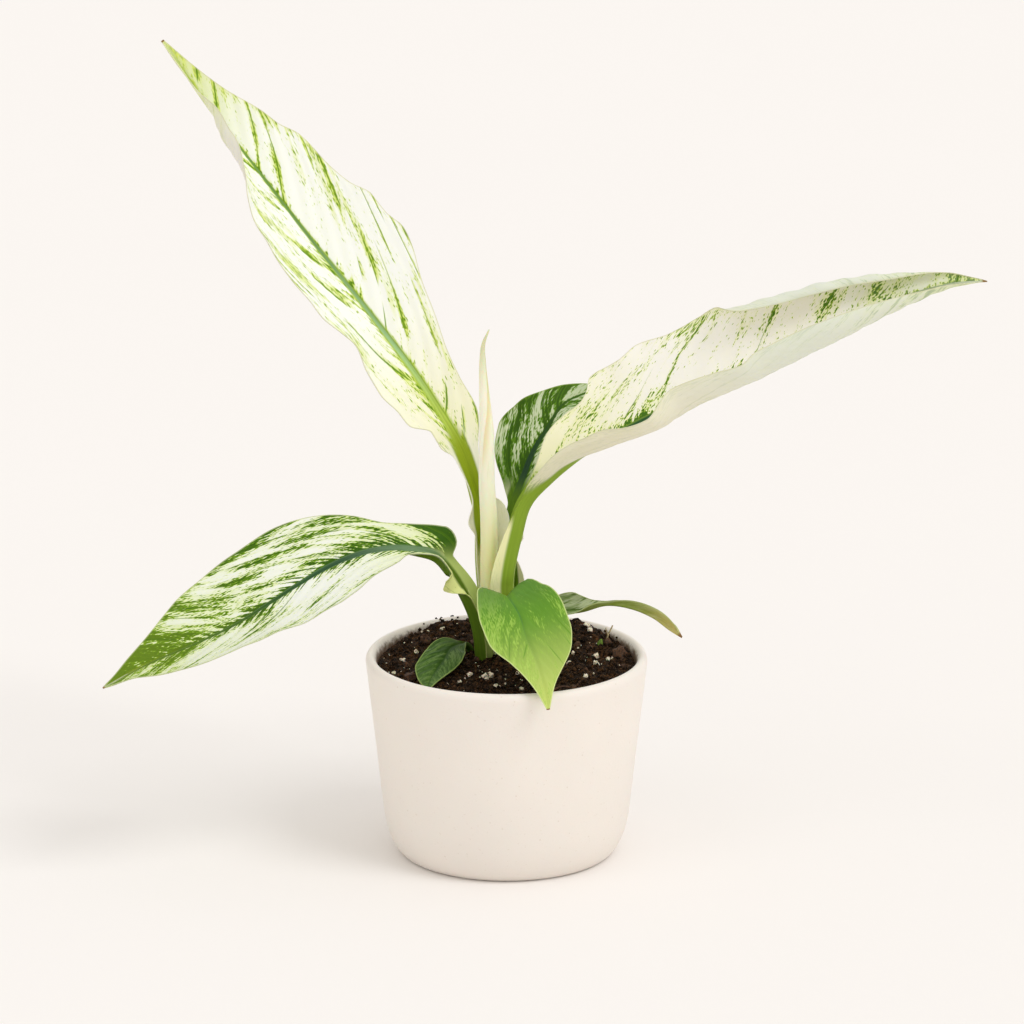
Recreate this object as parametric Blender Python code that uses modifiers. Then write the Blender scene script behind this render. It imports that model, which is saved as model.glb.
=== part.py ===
"""Potted peace lily: a young variegated plant with seven open leaves and one rolled leaf,
growing in potting mix in a round stoneware pot.

The pot stands on the origin, with +Z up. Named sizes are millimetres and degrees.
"""
import math

import bpy
import numpy as np

MM = 0.001
GAP = 0.3
SEGMENTS = 60

# Pot
POT_HEIGHT = 95.0
RIM_RADIUS = 65.0
LIP_START = 91.0
LIP_TOP_RADIUS = 62.7
WALL_SLOPE = 0.1125
WALL_THICKNESS = 5.0
FOOT_HEIGHT = 20.0
FOOT_RADIUS = 46.8
FOOT_STEPS = 5
FLOOR_THICKNESS = 8.0
INNER_CORNER = 7.0
CORNER_STEPS = 4
LIP_STEPS = 4
MERGE_DISTANCE = 0.01
GLAZE_ROUGHNESS = 0.5
POT_COLOUR = (0.8, 0.74, 0.66)

# Potting mix
SOIL_TOP = 91.0
SOIL_EDGE = 87.5
SOIL_RINGS = 18
CRUMB_HEIGHT = 1.1
CRUMB_SEED = 7
PETIOLE_COLLAR = 96.0
PETIOLE_REACH = 6.5
FOOT_SLICE = 1.0
HOLE_GAP = 0.7
HOLE_SIDES = 16
SOIL_ROUGHNESS = 0.9
SOIL_COLOUR = (0.05, 0.032, 0.022)

# Leaves
MARGIN_THICKNESS = 0.9
KEEL_SPREAD = 0.6
LONG_GAP = 0.75
TANGENT_STEP = 0.5
STEADY_LIMIT = 2
LEAF_ROUGHNESS = 0.45

# Each leaf is one surface carried along its midrib, from the foot of the petiole to the tip.
# path: points of the midrib, numbered from 0.
# facing: the way the upper face looks, as (point, x, y, z).
# left, right: the two halves, as (point, width, slope beside the midrib, slope at the margin) and,
#     where the cross rows lean along the leaf, their lean for each millimetre of width.
# keel: thickness under the midrib, as (point, thickness).
# curl: how late in each half's width it turns from the first slope to the second.
LEAVES = {
    "leaf_tall_left": {
        "path": [(-8, 24.5, 74), (-8, 24.5, 95), (-11, 23, 131), (-12, 23, 155), (-20, 27, 183),
                 (-36, 34, 210), (-64, 47, 246), (-90, 58, 277), (-116, 69, 309), (-139, 76, 338),
                 (-159, 80, 367)],
        "facing": [(0, 0.1, -0.95, 0.3), (10, 0.1, -0.95, 0.3)],
        "left": [(0, 4, 30, 80), (1, 4, 30, 80), (2, 5, 30, 80), (2.6, 6, 30, 80), (2.9, 8, 20, 50),
                 (3.3, 4.5, 30, 80), (4, 5, 20, 40), (4.3, 10, 20, 35), (4.6, 12, 20, 30),
                 (4.8, 19, 12, 30), (5, 22, 10, 35), (5.3, 25, 15, 45), (5.5, 25, 18, 50),
                 (6, 29, 33, 63), (7, 33, 30, 65), (7.5, 29, 33, 70), (8, 22, 35, 100),
                 (8.5, 17, 20, 160), (9, 8, 75, 125), (9.5, 4, 75, 90), (10, 0.8, 60, 60)],
        "right": [(0, 4, 30, 80), (1, 4, 30, 80), (2, 8, 30, 70), (2.4, 10, 30, 60), (2.9, 14, 20, 40),
                  (3.15, 12, 20, 40), (3.4, 5, 30, 60), (4, 9, 20, 40), (4.5, 16, 0, 20),
                  (5, 16.5, 0, 10), (5.5, 22.5, 0, 10), (6, 31, 0, 10), (6.5, 37, 0, 8),
                  (7, 35, 0, 10), (7.5, 28.5, 0, 5), (8, 25, 0, 5), (8.5, 18, 0, 5), (9, 12.4, 0, 5),
                  (9.5, 5.5, 0, 5), (10, 0.8, 0, 0)],
        "keel": [(0, 4.5), (3.5, 4.2), (5, 3), (8, 1.6), (10, 0.9)],
        "columns": (5, 5),
        "curl": (1, 1),
        "colour": (0.72, 0.76, 0.45),
    },
    "leaf_arching_right": {
        "path": [(3, 9, 74), (3, 9, 95), (-1, 7, 128), (3, 7, 150), (8, 6, 167), (19, 4, 179),
                 (34, 2, 191), (48, 0, 199), (69, -3, 211), (98, -7, 229), (120, -10, 241),
                 (147, -14, 256), (174, -18, 268), (201, -22, 277), (217, -25, 279)],
        "facing": [(0, -0.9, -0.1, 0.2), (4, -0.6, -0.2, 0.6), (6, -0.3, 0, 0.95), (14, -0.3, 0, 0.95)],
        "left": [(0, 3, 30, 80), (3, 3.5, 30, 80), (4, 3, 40, 60), (5, 8, 50, 60), (6, 20, 52, 62),
                 (7, 33, 54, 64), (8, 34.5, 56, 68), (8.5, 36, 55, 68), (9, 34.5, 54, 75),
                 (9.3, 34, 53, 115), (9.6, 35.5, 52, 195), (10, 35, 52, 240), (11, 29, 52, 275),
                 (12, 18.5, 52, 270), (13, 5.5, 40, 160), (14, 0.8, 30, 30)],
        "right": [(0, 3, 30, 80), (1, 4, 30, 90), (2, 9, 30, 100), (3, 6.5, 30, 90), (4, 4, 20, 60),
                  (5, 10, -25, 60), (6, 19, -34, 84), (7, 25, -38, 82), (7.5, 27, -44, 62),
                  (8, 30, -48, 55), (8.5, 31, -56, 95), (9, 32, -60, 85), (9.6, 32, -62, 75),
                  (10, 33, -65, 92), (11, 31, -68, 98), (12, 20, -60, 90), (13, 7, -50, 60),
                  (14, 0.8, 0, 0)],
        "keel": [(0, 4.5), (4, 4.5), (6, 3.2), (10, 1.8), (14, 0.9)],
        "columns": (8, 6),
        "curl": (2.6, 1),
        "colour": (0.68, 0.72, 0.42),
    },
    "leaf_dark_back": {
        "path": [(5, 27, 74), (5, 27, 95), (2, 31, 131), (3, 35, 155), (8, 39, 169), (13, 43, 181),
                 (19, 47, 190), (26, 52, 200), (36, 57, 204), (46, 60, 206)],
        "facing": [(0, -0.3, -0.8, 0.5), (9, -0.3, -0.8, 0.5)],
        "left": [(0, 2.5, 30, 80), (2.5, 2.5, 30, 80), (3, 2.5, 20, 40), (3.5, 7.5, 10, 20),
                 (4, 13, 5, 15), (5, 20, 0, 10), (6, 20, 0, 20), (6.5, 16, 0, 30), (7, 10, 0, 20),
                 (8, 4, 0, 20), (9, 0.8, 0, 0)],
        "right": [(0, 2.5, 30, 80), (1.4, 2.5, 30, 80), (1.75, 8, 20, 40), (1.95, 6, 20, 50),
                  (2.15, 3, 30, 70), (2.45, 8, 15, 35), (2.7, 6.5, 15, 35), (2.9, 3, 20, 40),
                  (3.2, 3, 20, 40), (3.5, 5, 20, 30), (4, 10, 20, 35), (5, 18, 20, 40),
                  (6, 20, 20, 40), (7, 14, 20, 40), (8, 7, 20, 40), (9, 0.8, 0, 0)],
        "keel": [(0, 3.5), (3, 3), (5, 2), (9, 0.9)],
        "columns": (4, 4),
        "curl": (1, 1),
        "colour": (0.12, 0.24, 0.06),
    },
    "leaf_arching_left": {
        "path": [(-10.5, 4, 74), (-10.5, 4, 90), (-13, 4, 109), (-18, 3, 122), (-25, 2, 134),
                 (-32, 1, 142), (-41, -1, 145), (-53, -5, 147), (-66, -9, 146), (-81, -13, 141),
                 (-95, -18, 134), (-109, -23, 126), (-124, -29, 118), (-140, -36, 112),
                 (-163, -44, 104), (-184, -52, 95)],
        "facing": [(0, 0.9, -0.5, 0.2), (3, 0.6, -0.6, 0.5), (5, 0.1, -0.3, 0.9),
                   (6.5, -0.2, -0.1, 0.95), (15, -0.3, 0, 0.95)],
        "left": [(0, 3.5, 30, 80), (3, 4, 20, 60), (5, 4, 10, 30), (5.7, 4, -10, 0), (6.4, 5, -20, -10),
                 (7, 12, -25, -20), (8, 20, -30, -20), (9, 27, -34, -18), (10, 29, -36, -18),
                 (11, 29, -34, -8), (12, 27, -28, 0), (13, 23, -24, -6), (14, 11, -26, -16),
                 (15, 0.8, 0, 0)],
        "right": [(0, 3.5, 30, 80), (3, 6.5, 20, 60), (4.2, 5, 30, 70, -0.2), (4.6, 5, 30, 70, -0.5),
                  (5.2, 8, 60, 72, -0.9), (5.6, 11, 65, 75, -0.75), (6, 13, 62, 76, -0.8),
                  (6.5, 12.5, 52, 65, -0.45), (7, 13, 50, 60), (8, 20, 50, 62), (9, 27.5, 50, 62),
                  (10, 31, 50, 62), (11, 30.5, 50, 62), (12, 28.5, 50, 62), (13, 23.5, 50, 62),
                  (14, 10, 50, 60), (15, 0.8, 0, 0)],
        "keel": [(0, 4.2), (5, 3.6), (8, 2.4), (15, 0.9)],
        "columns": (5, 5),
        "curl": (1, 1),
        "colour": (0.45, 0.55, 0.36),
    },
    "leaf_heart_front": {
        "path": [(2, 1, 74), (2, 1, 92), (-1, -3, 116), (0, -8, 125), (2, -15, 125), (6, -28, 122),
                 (9, -41, 116), (13, -54, 110), (17, -66, 100), (19, -75, 92)],
        "facing": [(0, 0, 1, 0.1), (2, 0, 0.8, 0.6), (3, 0, 0.3, 0.9), (4, 0, -0.2, 0.98),
                   (9, 0, -0.4, 0.9)],
        "left": [(0, 2, 30, 80), (2.6, 2, 30, 80), (2.8, 4, 35, 50, -0.5), (3, 9.5, 42, 34, -0.85),
                 (3.3, 12, 42, 12, -0.65), (4, 17, 12, 20, -0.15), (5, 20.5, 5, 15), (6, 21, 5, 10),
                 (7, 17, 0, 5), (8, 5.2, 0, 0), (9, 0.7, 0, 0)],
        "right": [(0, 2, 30, 80), (2.6, 2, 30, 80), (2.8, 5, 30, 35, -0.8), (3, 9.5, 32, 22, -0.9),
                  (3.3, 12.5, 15, 10, -0.55), (4, 15.5, 5, 5, -0.15), (5, 18.5, 0, 0),
                  (6, 17.5, 0, 0), (7, 12, 0, 0), (8, 4.8, 0, 0), (9, 0.7, 0, 0)],
        "keel": [(0, 2.8), (2.6, 2.4), (4, 1.6), (9, 0.9)],
        "columns": (4, 4),
        "curl": (1, 1),
        "colour": (0.34, 0.48, 0.12),
    },
    "leaf_twisted_right": {
        "path": [(10, 6, 74), (10, 6, 90), (11, 5, 100), (16, 3, 110), (23, 0, 115), (34, -3, 117),
                 (46, -6, 121), (58, -9, 120), (68, -11, 116), (76, -12, 110), (81, -13, 107)],
        "facing": [(0, -1, 0.2, 0.2), (3, -0.7, 0, 0.7), (5, -0.1, 0, 0.95), (10, 0.3, 0, 0.95)],
        "left": [(0, 2, 30, 80), (2.5, 2, 30, 80), (3, 3, 30, 50), (4, 7.5, 30, 70), (4.6, 8.5, 40, 90),
                 (5, 7.5, 40, 110), (5.6, 3.5, 30, 60), (6, 2.5, 20, 30), (6.5, 3, 50, 70),
                 (7, 4, 70, 90), (8, 4, 70, 90), (9, 3, 60, 90), (10, 0.8, 30, 30)],
        "right": [(0, 2, 30, 80), (2.5, 2, 30, 80), (3, 3, 20, 40), (4, 7, 0, 20), (5, 6.5, 0, 24),
                  (6, 4, 20, 50), (7, 5.5, 50, 90), (8, 6, 50, 90), (9, 4.5, 50, 80), (10, 0.8, 30, 30)],
        "keel": [(0, 2.8), (3, 2.4), (5, 1.6), (10, 0.9)],
        "columns": (4, 4),
        "curl": (1, 1),
        "colour": (0.36, 0.42, 0.2),
    },
    "leaf_small_soil": {
        "path": [(-16.5, 15, 76), (-16.5, 15, 91), (-18, 12, 95), (-21, 5, 98), (-25, -1, 98.5),
                 (-28, -11, 97), (-32, -22, 94.5), (-35, -33, 92.5), (-36, -42, 91)],
        "facing": [(0, 0.3, 1, 0), (2, 0.2, 0.6, 0.7), (3, 0.1, -0.2, 0.95), (8, 0.1, -0.5, 0.85)],
        "left": [(0, 1.2, 30, 80), (2.7, 1.2, 30, 80), (3, 2.5, 10, 20), (3.5, 5, 0, 10), (4, 7, 0, 10),
                 (5, 8, 0, 10), (6, 6.5, 5, 10), (7, 4, 5, 10), (8, 0.8, 0, 0)],
        "right": [(0, 1.2, 30, 80), (2.7, 1.2, 30, 80), (3, 2.5, 10, 20), (3.5, 5.5, 10, 10),
                  (4, 7.5, 10, 5), (5, 10, 5, 0), (6, 10, 5, -10), (7, 6, 5, -10), (8, 0.8, 0, 0)],
        "keel": [(0, 1.8), (2.7, 1.6), (4, 1.2), (8, 0.9)],
        "columns": (3, 3),
        "curl": (1, 1),
        "colour": (0.12, 0.22, 0.08),
    },
}

# The rolled leaf: points of its middle line, each with the radius of the roll there.
SPEAR = [(-8.5, 13.5, 74, 3.4), (-8, 13.5, 129, 3.7), (-8, 13.5, 155, 3.7), (-9, 13.5, 175, 3.5),
         (-9, 13.5, 198, 3.2), (-10, 13.5, 217, 2.3), (-10, 13.5, 231, 1.5), (-10, 13.5, 239, 0.8),
         (-8, 13.5, 246, 0.3)]
SPEAR_POINTS = 24
SPEAR_ROUNDNESS = 2
SPEAR_COLOUR = (0.72, 0.7, 0.42)


def clear_scene():
    for item in list(bpy.data.objects):
        bpy.data.objects.remove(item, do_unlink=True)


def new_collection(name):
    collection = bpy.data.collections.new(name)
    bpy.context.scene.collection.children.link(collection)
    return collection


def finish(name, colour, roughness):
    """A plain Principled material."""
    material = bpy.data.materials.new(name)
    material.use_nodes = True
    shader = material.node_tree.nodes["Principled BSDF"]
    shader.inputs["Base Color"].default_value = (*colour, 1.0)
    shader.inputs["Roughness"].default_value = roughness
    shader.inputs["Metallic"].default_value = 0.0
    return material


def leaf_finish(name, colour):
    return finish(name + "_finish", colour, LEAF_ROUGHNESS)


def add_object(name, data, collection, material):
    item = bpy.data.objects.new(name, data)
    item.data.materials.append(material)
    collection.objects.link(item)
    return item


def new_mesh(name, points, faces):
    """A smooth-shaded mesh from points in millimetres."""
    mesh = bpy.data.meshes.new(name)
    mesh.from_pydata((np.asarray(points, float) * MM).tolist(), [], faces)
    mesh.shade_smooth()
    return mesh


def smooth(knots, values, at, steady=False):
    """A curve through the values: cubic pieces whose slope at a knot blends its neighbours' slopes.

    A steady curve never passes its values: it is level where they turn, and never steep
    beside a gentle stretch.
    """
    knots = np.asarray(knots, float)
    values = np.asarray(values, float)
    step = np.diff(knots)[:, None]
    chord = np.diff(values, axis=0) / step
    slope = np.empty_like(values)
    slope[1:-1] = (chord[:-1] * step[1:] + chord[1:] * step[:-1]) / (step[1:] + step[:-1])
    slope[0] = chord[0]
    slope[-1] = chord[-1]
    if steady:
        gentlest = np.minimum(np.abs(chord[:-1]), np.abs(chord[1:]))
        turns = chord[:-1] * chord[1:] <= 0
        inner = np.clip(slope[1:-1], -STEADY_LIMIT * gentlest, STEADY_LIMIT * gentlest)
        slope[1:-1] = np.where(turns, 0.0, inner)
    piece = np.clip(np.searchsorted(knots, at, side="right") - 1, 0, len(knots) - 2)
    span = step[piece]
    f = (at - knots[piece])[:, None] / span
    start = (2 * f**3 - 3 * f**2 + 1) * values[piece] + (f**3 - 2 * f**2 + f) * span * slope[piece]
    end = (3 * f**2 - 2 * f**3) * values[piece + 1] + (f**3 - f**2) * span * slope[piece + 1]
    return start + end


def unit(vectors):
    return vectors / np.linalg.norm(vectors, axis=-1, keepdims=True)


def chord_lengths(points):
    steps = np.linalg.norm(np.diff(points, axis=0), axis=1)
    return np.concatenate([[0.0], np.cumsum(steps)])


def leaf_rows(leaf):
    """Cross rows at every listed place of both halves, and halfway along each long gap."""
    places = sorted({row[0] for half in ("left", "right") for row in leaf[half]})
    between = [0.5 * (a + b) for a, b in zip(places, places[1:]) if b - a > LONG_GAP]
    return np.array(sorted(places + between))


def half_surface(leaf, half, columns, curl, knots, arc):
    """One half in the frame of each cross row: offsets across, up and along, and the width there."""
    table = np.array([tuple(row) + (0.0,) * (5 - len(row)) for row in leaf[half]])
    widths, start, end, lean = smooth(np.interp(table[:, 0], np.arange(len(knots)), knots),
                                      table[:, 1:], arc, steady=True).T
    share = np.linspace(0, 1, columns + 1) ** (1 / math.sqrt(curl))
    slope = np.radians(start[:, None] + (end - start)[:, None] * share**curl)
    middle = 0.5 * (slope[:, 1:] + slope[:, :-1])
    step = widths[:, None] * np.diff(share)
    first = np.zeros((len(arc), 1))
    across = np.hstack([first, np.cumsum(np.cos(middle) * step, axis=1)])
    up = np.hstack([first, np.cumsum(np.sin(middle) * step, axis=1)])
    reach = widths[:, None] * share
    return across, up, lean[:, None] * reach, reach


def leaf_surface(leaf):
    """The upper face as a grid of points, and each point's distance from the midrib.

    Each cross row is two arcs that leave the midrib on either side, in the plane of the
    side direction (along the leaf x facing) and the facing direction.
    """
    path = np.array(leaf["path"], float)
    knots = chord_lengths(path)
    places = np.arange(len(path))
    rows = leaf_rows(leaf)
    arc = np.interp(rows, places, knots)
    midrib = smooth(knots, path, arc)
    ahead = smooth(knots, path, np.minimum(arc + TANGENT_STEP, knots[-1]))
    behind = smooth(knots, path, np.maximum(arc - TANGENT_STEP, 0))
    along = unit(ahead - behind)
    facing = np.array(leaf["facing"], float)
    look = smooth(np.interp(facing[:, 0], places, knots), facing[:, 1:], arc)
    up_way = unit(look - np.sum(look * along, axis=1, keepdims=True) * along)
    side = np.cross(along, up_way)
    grids = []
    reaches = []
    for half, sign, columns, curl in zip(("left", "right"), (-1, 1), leaf["columns"], leaf["curl"]):
        across, up, forward, reach = half_surface(leaf, half, columns, curl, knots, arc)
        grid = (midrib[:, None] + sign * across[..., None] * side[:, None]
                + up[..., None] * up_way[:, None] + forward[..., None] * along[:, None])
        grids.append(grid)
        reaches.append(reach)
    grid = np.hstack([grids[0][:, ::-1], grids[1][:, 1:]])
    reach = np.hstack([reaches[0][:, ::-1], reaches[1][:, 1:]])
    return grid, reach, rows


def grid_triangles(row_count, column_count):
    """Two triangles for each cell of a grid, all split the same way."""
    faces = []
    for row in range(row_count - 1):
        for column in range(column_count - 1):
            a = row * column_count + column
            b = a + column_count
            faces.append((a, b + 1, b))
            faces.append((a, a + 1, b + 1))
    return faces


def make_leaf(name, leaf, collection):
    """A leaf: its upper face, thickened downwards, most of all under the midrib."""
    grid, reach, rows = leaf_surface(leaf)
    keel_places, keel = np.array(leaf["keel"], float).T
    rib = np.interp(rows, keel_places, keel)[:, None]
    thickness = MARGIN_THICKNESS + (rib - MARGIN_THICKNESS) * np.exp(-(reach / (KEEL_SPREAD * rib)) ** 2)
    thickest = thickness.max()
    mesh = new_mesh(name, grid.reshape(-1, 3), grid_triangles(*grid.shape[:2]))
    item = add_object(name, mesh, collection, leaf_finish(name, leaf["colour"]))
    group = item.vertex_groups.new(name="thickness")
    thinnest_share = MARGIN_THICKNESS / thickest
    shares = (thickness.ravel() / thickest - thinnest_share) / (1 - thinnest_share)
    for index, share in enumerate(shares):
        group.add([index], float(share), "REPLACE")
    body = item.modifiers.new("thickness", "SOLIDIFY")
    body.thickness = thickest * MM
    body.offset = -1
    body.use_rim = True
    body.vertex_group = group.name
    body.thickness_vertex_group = thinnest_share


def make_spear(collection):
    """The new leaf, still rolled up: a tapered tube along its middle line."""
    table = np.array(SPEAR, float)
    knots = chord_lengths(table[:, :3])
    line = smooth(knots, table, np.linspace(0, knots[-1], SPEAR_POINTS))
    curve = bpy.data.curves.new("leaf_spear", "CURVE")
    curve.dimensions = "3D"
    curve.bevel_depth = MM
    curve.bevel_resolution = SPEAR_ROUNDNESS
    curve.use_fill_caps = True
    spline = curve.splines.new("POLY")
    spline.points.add(SPEAR_POINTS - 1)
    for point, (x, y, z, radius) in zip(spline.points, line.tolist()):
        point.co = (x * MM, y * MM, z * MM, 1.0)
        point.radius = radius
    add_object("leaf_spear", curve, collection, leaf_finish("leaf_spear", SPEAR_COLOUR))


def wall(z):
    """Outer radius of the pot's straight wall at a height."""
    return RIM_RADIUS + WALL_SLOPE * (z - LIP_START)


def quarter(count):
    """Cosines and sines at even steps through a quarter turn."""
    turn = np.linspace(0, math.pi / 2, count + 1)
    return np.column_stack([np.cos(turn), np.sin(turn)])


def hollow_outline(gap):
    """The pot's hollow from its wall's foot to its floor's middle, drawn in by a gap."""
    outline = []
    for cosine, sine in quarter(CORNER_STEPS):
        z = FLOOR_THICKNESS + INNER_CORNER * (1 - sine)
        radius = wall(z) - WALL_THICKNESS - INNER_CORNER * (1 - cosine)
        outline.append((radius - gap, z + gap))
    outline.append((0.0, FLOOR_THICKNESS + gap))
    return outline


def pot_outline():
    """From the middle of the floor inside, up, over the lip, down the outside to the middle below."""
    inside = hollow_outline(0.0)[::-1]
    lip_rise = POT_HEIGHT - LIP_START
    inner_lip = LIP_TOP_RADIUS - (wall(POT_HEIGHT) - WALL_THICKNESS)
    outer_lip = wall(POT_HEIGHT) - LIP_TOP_RADIUS
    lip_in = []
    lip_out = []
    for cosine, sine in quarter(LIP_STEPS):
        z = LIP_START + lip_rise * sine
        lip_in.append((wall(z) - WALL_THICKNESS + inner_lip * (1 - cosine), z))
        lip_out.append((wall(z) - outer_lip * (1 - cosine), z))
    foot = []
    foot_inset = wall(0) - FOOT_RADIUS
    for cosine, sine in quarter(FOOT_STEPS):
        z = FOOT_HEIGHT * (1 - sine)
        foot.append((wall(z) - foot_inset * (1 - cosine), z))
    return inside + lip_in + lip_out[-2::-1] + foot + [(0.0, 0.0)]


def turned(name, outline, collection, material):
    """A solid turned from an outline of (radius, height)."""
    points = [(radius, 0.0, z) for radius, z in outline]
    mesh = bpy.data.meshes.new(name)
    edges = [(index, index + 1) for index in range(len(points) - 1)]
    mesh.from_pydata((np.array(points) * MM).tolist(), edges, [])
    item = add_object(name, mesh, collection, material)
    screw = item.modifiers.new("turn", "SCREW")
    screw.steps = SEGMENTS
    screw.render_steps = SEGMENTS
    screw.use_merge_vertices = True
    screw.merge_threshold = MERGE_DISTANCE * MM
    screw.use_smooth_shade = True
    return item


def applied(item):
    """Puts the evaluated mesh in the object and drops its modifiers."""
    evaluated = item.evaluated_get(bpy.context.evaluated_depsgraph_get())
    mesh = bpy.data.meshes.new_from_object(evaluated)
    item.modifiers.clear()
    item.data = mesh
    return mesh


def make_pot(collection):
    turned("pot", pot_outline(), collection, finish("pot_finish", POT_COLOUR, GLAZE_ROUGHNESS))


def make_soil(collection, cutters, feet):
    """Potting mix: a low mound of crumbs, with a round hole for each petiole."""
    edge_radius = wall(SOIL_EDGE) - WALL_THICKNESS - GAP
    radii = np.linspace(0, edge_radius, SOIL_RINGS + 1)
    heights = SOIL_TOP - (SOIL_TOP - SOIL_EDGE) * (radii / edge_radius) ** 2
    outline = list(zip(radii.tolist(), heights.tolist())) + hollow_outline(GAP)
    soil = turned("soil", outline, collection, finish("soil_finish", SOIL_COLOUR, SOIL_ROUGHNESS))
    mesh = applied(soil)
    places = np.empty(len(mesh.vertices) * 3)
    mesh.vertices.foreach_get("co", places)
    places = places.reshape(-1, 3)
    top = places[:, 2] > (SOIL_EDGE - CRUMB_HEIGHT) * MM
    crumbs = np.random.default_rng(CRUMB_SEED).uniform(-1, 1, top.sum())
    places[top, 2] += crumbs * CRUMB_HEIGHT * MM
    mesh.vertices.foreach_set("co", places.ravel())
    for name, points in feet.items():
        low = points[:, :2].min(axis=0)
        high = points[:, :2].max(axis=0)
        centre = 0.5 * (low + high)
        radius = np.linalg.norm(points[:, :2] - centre, axis=1).max() + HOLE_GAP
        depth = POT_HEIGHT - points[:, 2].min() + GAP
        bpy.ops.mesh.primitive_cylinder_add(
            vertices=HOLE_SIDES, radius=radius * MM, depth=depth * MM,
            location=(centre[0] * MM, centre[1] * MM, (POT_HEIGHT - depth / 2) * MM))
        cutter = bpy.context.object
        cutter.name = name + "_hole"
        cutter.display_type = "WIRE"
        cutter.hide_render = True
        for other in list(cutter.users_collection):
            other.objects.unlink(cutter)
        cutters.objects.link(cutter)
    cut = soil.modifiers.new("petiole holes", "BOOLEAN")
    cut.operation = "DIFFERENCE"
    cut.operand_type = "COLLECTION"
    cut.collection = cutters
    cut.solver = "EXACT"


def buried(item):
    """The points of a leaf's foot, up to just above the potting mix, in millimetres."""
    evaluated = item.evaluated_get(bpy.context.evaluated_depsgraph_get())
    mesh = evaluated.to_mesh()
    places = np.empty(len(mesh.vertices) * 3)
    mesh.vertices.foreach_get("co", places)
    evaluated.to_mesh_clear()
    places = places.reshape(-1, 3) / MM
    foot = places[places[:, 2] < places[:, 2].min() + FOOT_SLICE].mean(axis=0)
    near = np.linalg.norm((places - foot)[:, :2], axis=1) < PETIOLE_REACH
    return places[near & (places[:, 2] < PETIOLE_COLLAR)]


def main():
    clear_scene()
    collection = new_collection("potted_peace_lily")
    cutters = new_collection("cutters")
    for name, leaf in LEAVES.items():
        make_leaf(name, leaf, collection)
    make_spear(collection)
    feet = {item.name: buried(item) for item in collection.objects}
    make_pot(collection)
    make_soil(collection, cutters, feet)


main()
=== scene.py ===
"""Potted peace lily: the looks of a young variegated plant in a round stoneware pot.

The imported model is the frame. Its pot, potting mix and leaves are each replaced by a finer
surface with its own finish. Shapes are worked out in millimetres, with the pot standing on
the origin and +Z up, and become metres in new_piece().
"""

import math

import bpy
import numpy as np
from bpy.props import FloatProperty, FloatVectorProperty, IntProperty, PointerProperty
from mathutils import Euler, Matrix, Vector


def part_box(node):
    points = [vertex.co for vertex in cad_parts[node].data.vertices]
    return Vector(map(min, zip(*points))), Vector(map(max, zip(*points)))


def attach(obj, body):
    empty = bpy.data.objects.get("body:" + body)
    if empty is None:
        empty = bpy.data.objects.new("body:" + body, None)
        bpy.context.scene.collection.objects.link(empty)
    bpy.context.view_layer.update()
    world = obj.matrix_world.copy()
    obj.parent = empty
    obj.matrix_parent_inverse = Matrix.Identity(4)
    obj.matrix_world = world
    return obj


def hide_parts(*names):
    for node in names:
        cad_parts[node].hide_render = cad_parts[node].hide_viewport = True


bl_info = {
    "name": "Potted peace lily",
    "version": (1, 0, 0),
    "blender": (4, 5, 0),
    "location": "View3D > Sidebar > Peace lily",
    "description": "A variegated peace lily in a stoneware pot, with a plain studio stage",
    "category": "Add Mesh",
}

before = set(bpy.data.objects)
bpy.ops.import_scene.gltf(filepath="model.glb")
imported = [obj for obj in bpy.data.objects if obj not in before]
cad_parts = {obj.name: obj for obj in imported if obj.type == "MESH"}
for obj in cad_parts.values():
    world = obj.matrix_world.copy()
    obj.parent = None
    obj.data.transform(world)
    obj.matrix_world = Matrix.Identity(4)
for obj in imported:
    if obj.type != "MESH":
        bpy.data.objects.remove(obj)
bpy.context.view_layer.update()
MM = 0.001

# Pot: its height and rim come from the frame, the rest of its outline from these sizes. The last
# size is how far under the mix's top a ragged soil-brown band on the inner wall starts.
POT_LOW, POT_HIGH = [np.array(corner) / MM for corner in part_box("pot")]
POT_HEIGHT = POT_HIGH[2]
LIP_HEIGHT = 4.0
WALL_SLOPE = 0.1125
RIM_RADIUS = (POT_HIGH[0] - POT_LOW[0]) / 2
LIP_START = POT_HEIGHT - LIP_HEIGHT
LIP_TOP_INSET = 2.3
WALL_THICKNESS = 5.0
FOOT_HEIGHT = 20.0
FOOT_RADIUS = 46.8
FLOOR_THICKNESS = 8.0
INNER_CORNER = 7.0
BROWN_BAND_DEPTH = 14.0

# Potting mix: its height in the middle and at the front wall, how much higher it lies at the
# back, its gap to the pot, and how far from the wall grains are strewn. HEAPS lie against the
# back wall: (x, y, height, width).
SOIL_TOP = 91.0
SOIL_EDGE = 87.5
BACK_RISE = 3.2
SOIL_GAP = 0.15
STREWN_INSET = 1.5
HEAPS = [(33, 44, 4.2, 17), (-26, 51, 4.2, 18), (6, 56, 3.6, 14)]

# Leaves: how much steeper a steady curve may be than the gentler stretch beside a knot, how fast
# a leaf thins beside its midrib (as a share of the midrib's thickness), half the width of a dark
# vein, how far out the veins' slant is measured, the petiole's slopes in degrees, and how far
# from its middle its wings start.
STEADY_LIMIT = 2
KEEL_SPREAD = 0.6
VEIN_LINE = 0.28
VEIN_MIDDLE = 12.0
PETIOLE_SLOPES = [30, 80]
WING_START = 3.4

WHOLE_TURN = 2 * math.pi


def shade(red, green, blue):
    """A paint colour given in 0 to 255 as linear light."""
    value = np.array([red, green, blue]) / 255
    return tuple(np.where(value > 0.04045, ((value + 0.055) / 1.055) ** 2.4, value / 12.92).tolist())


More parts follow.
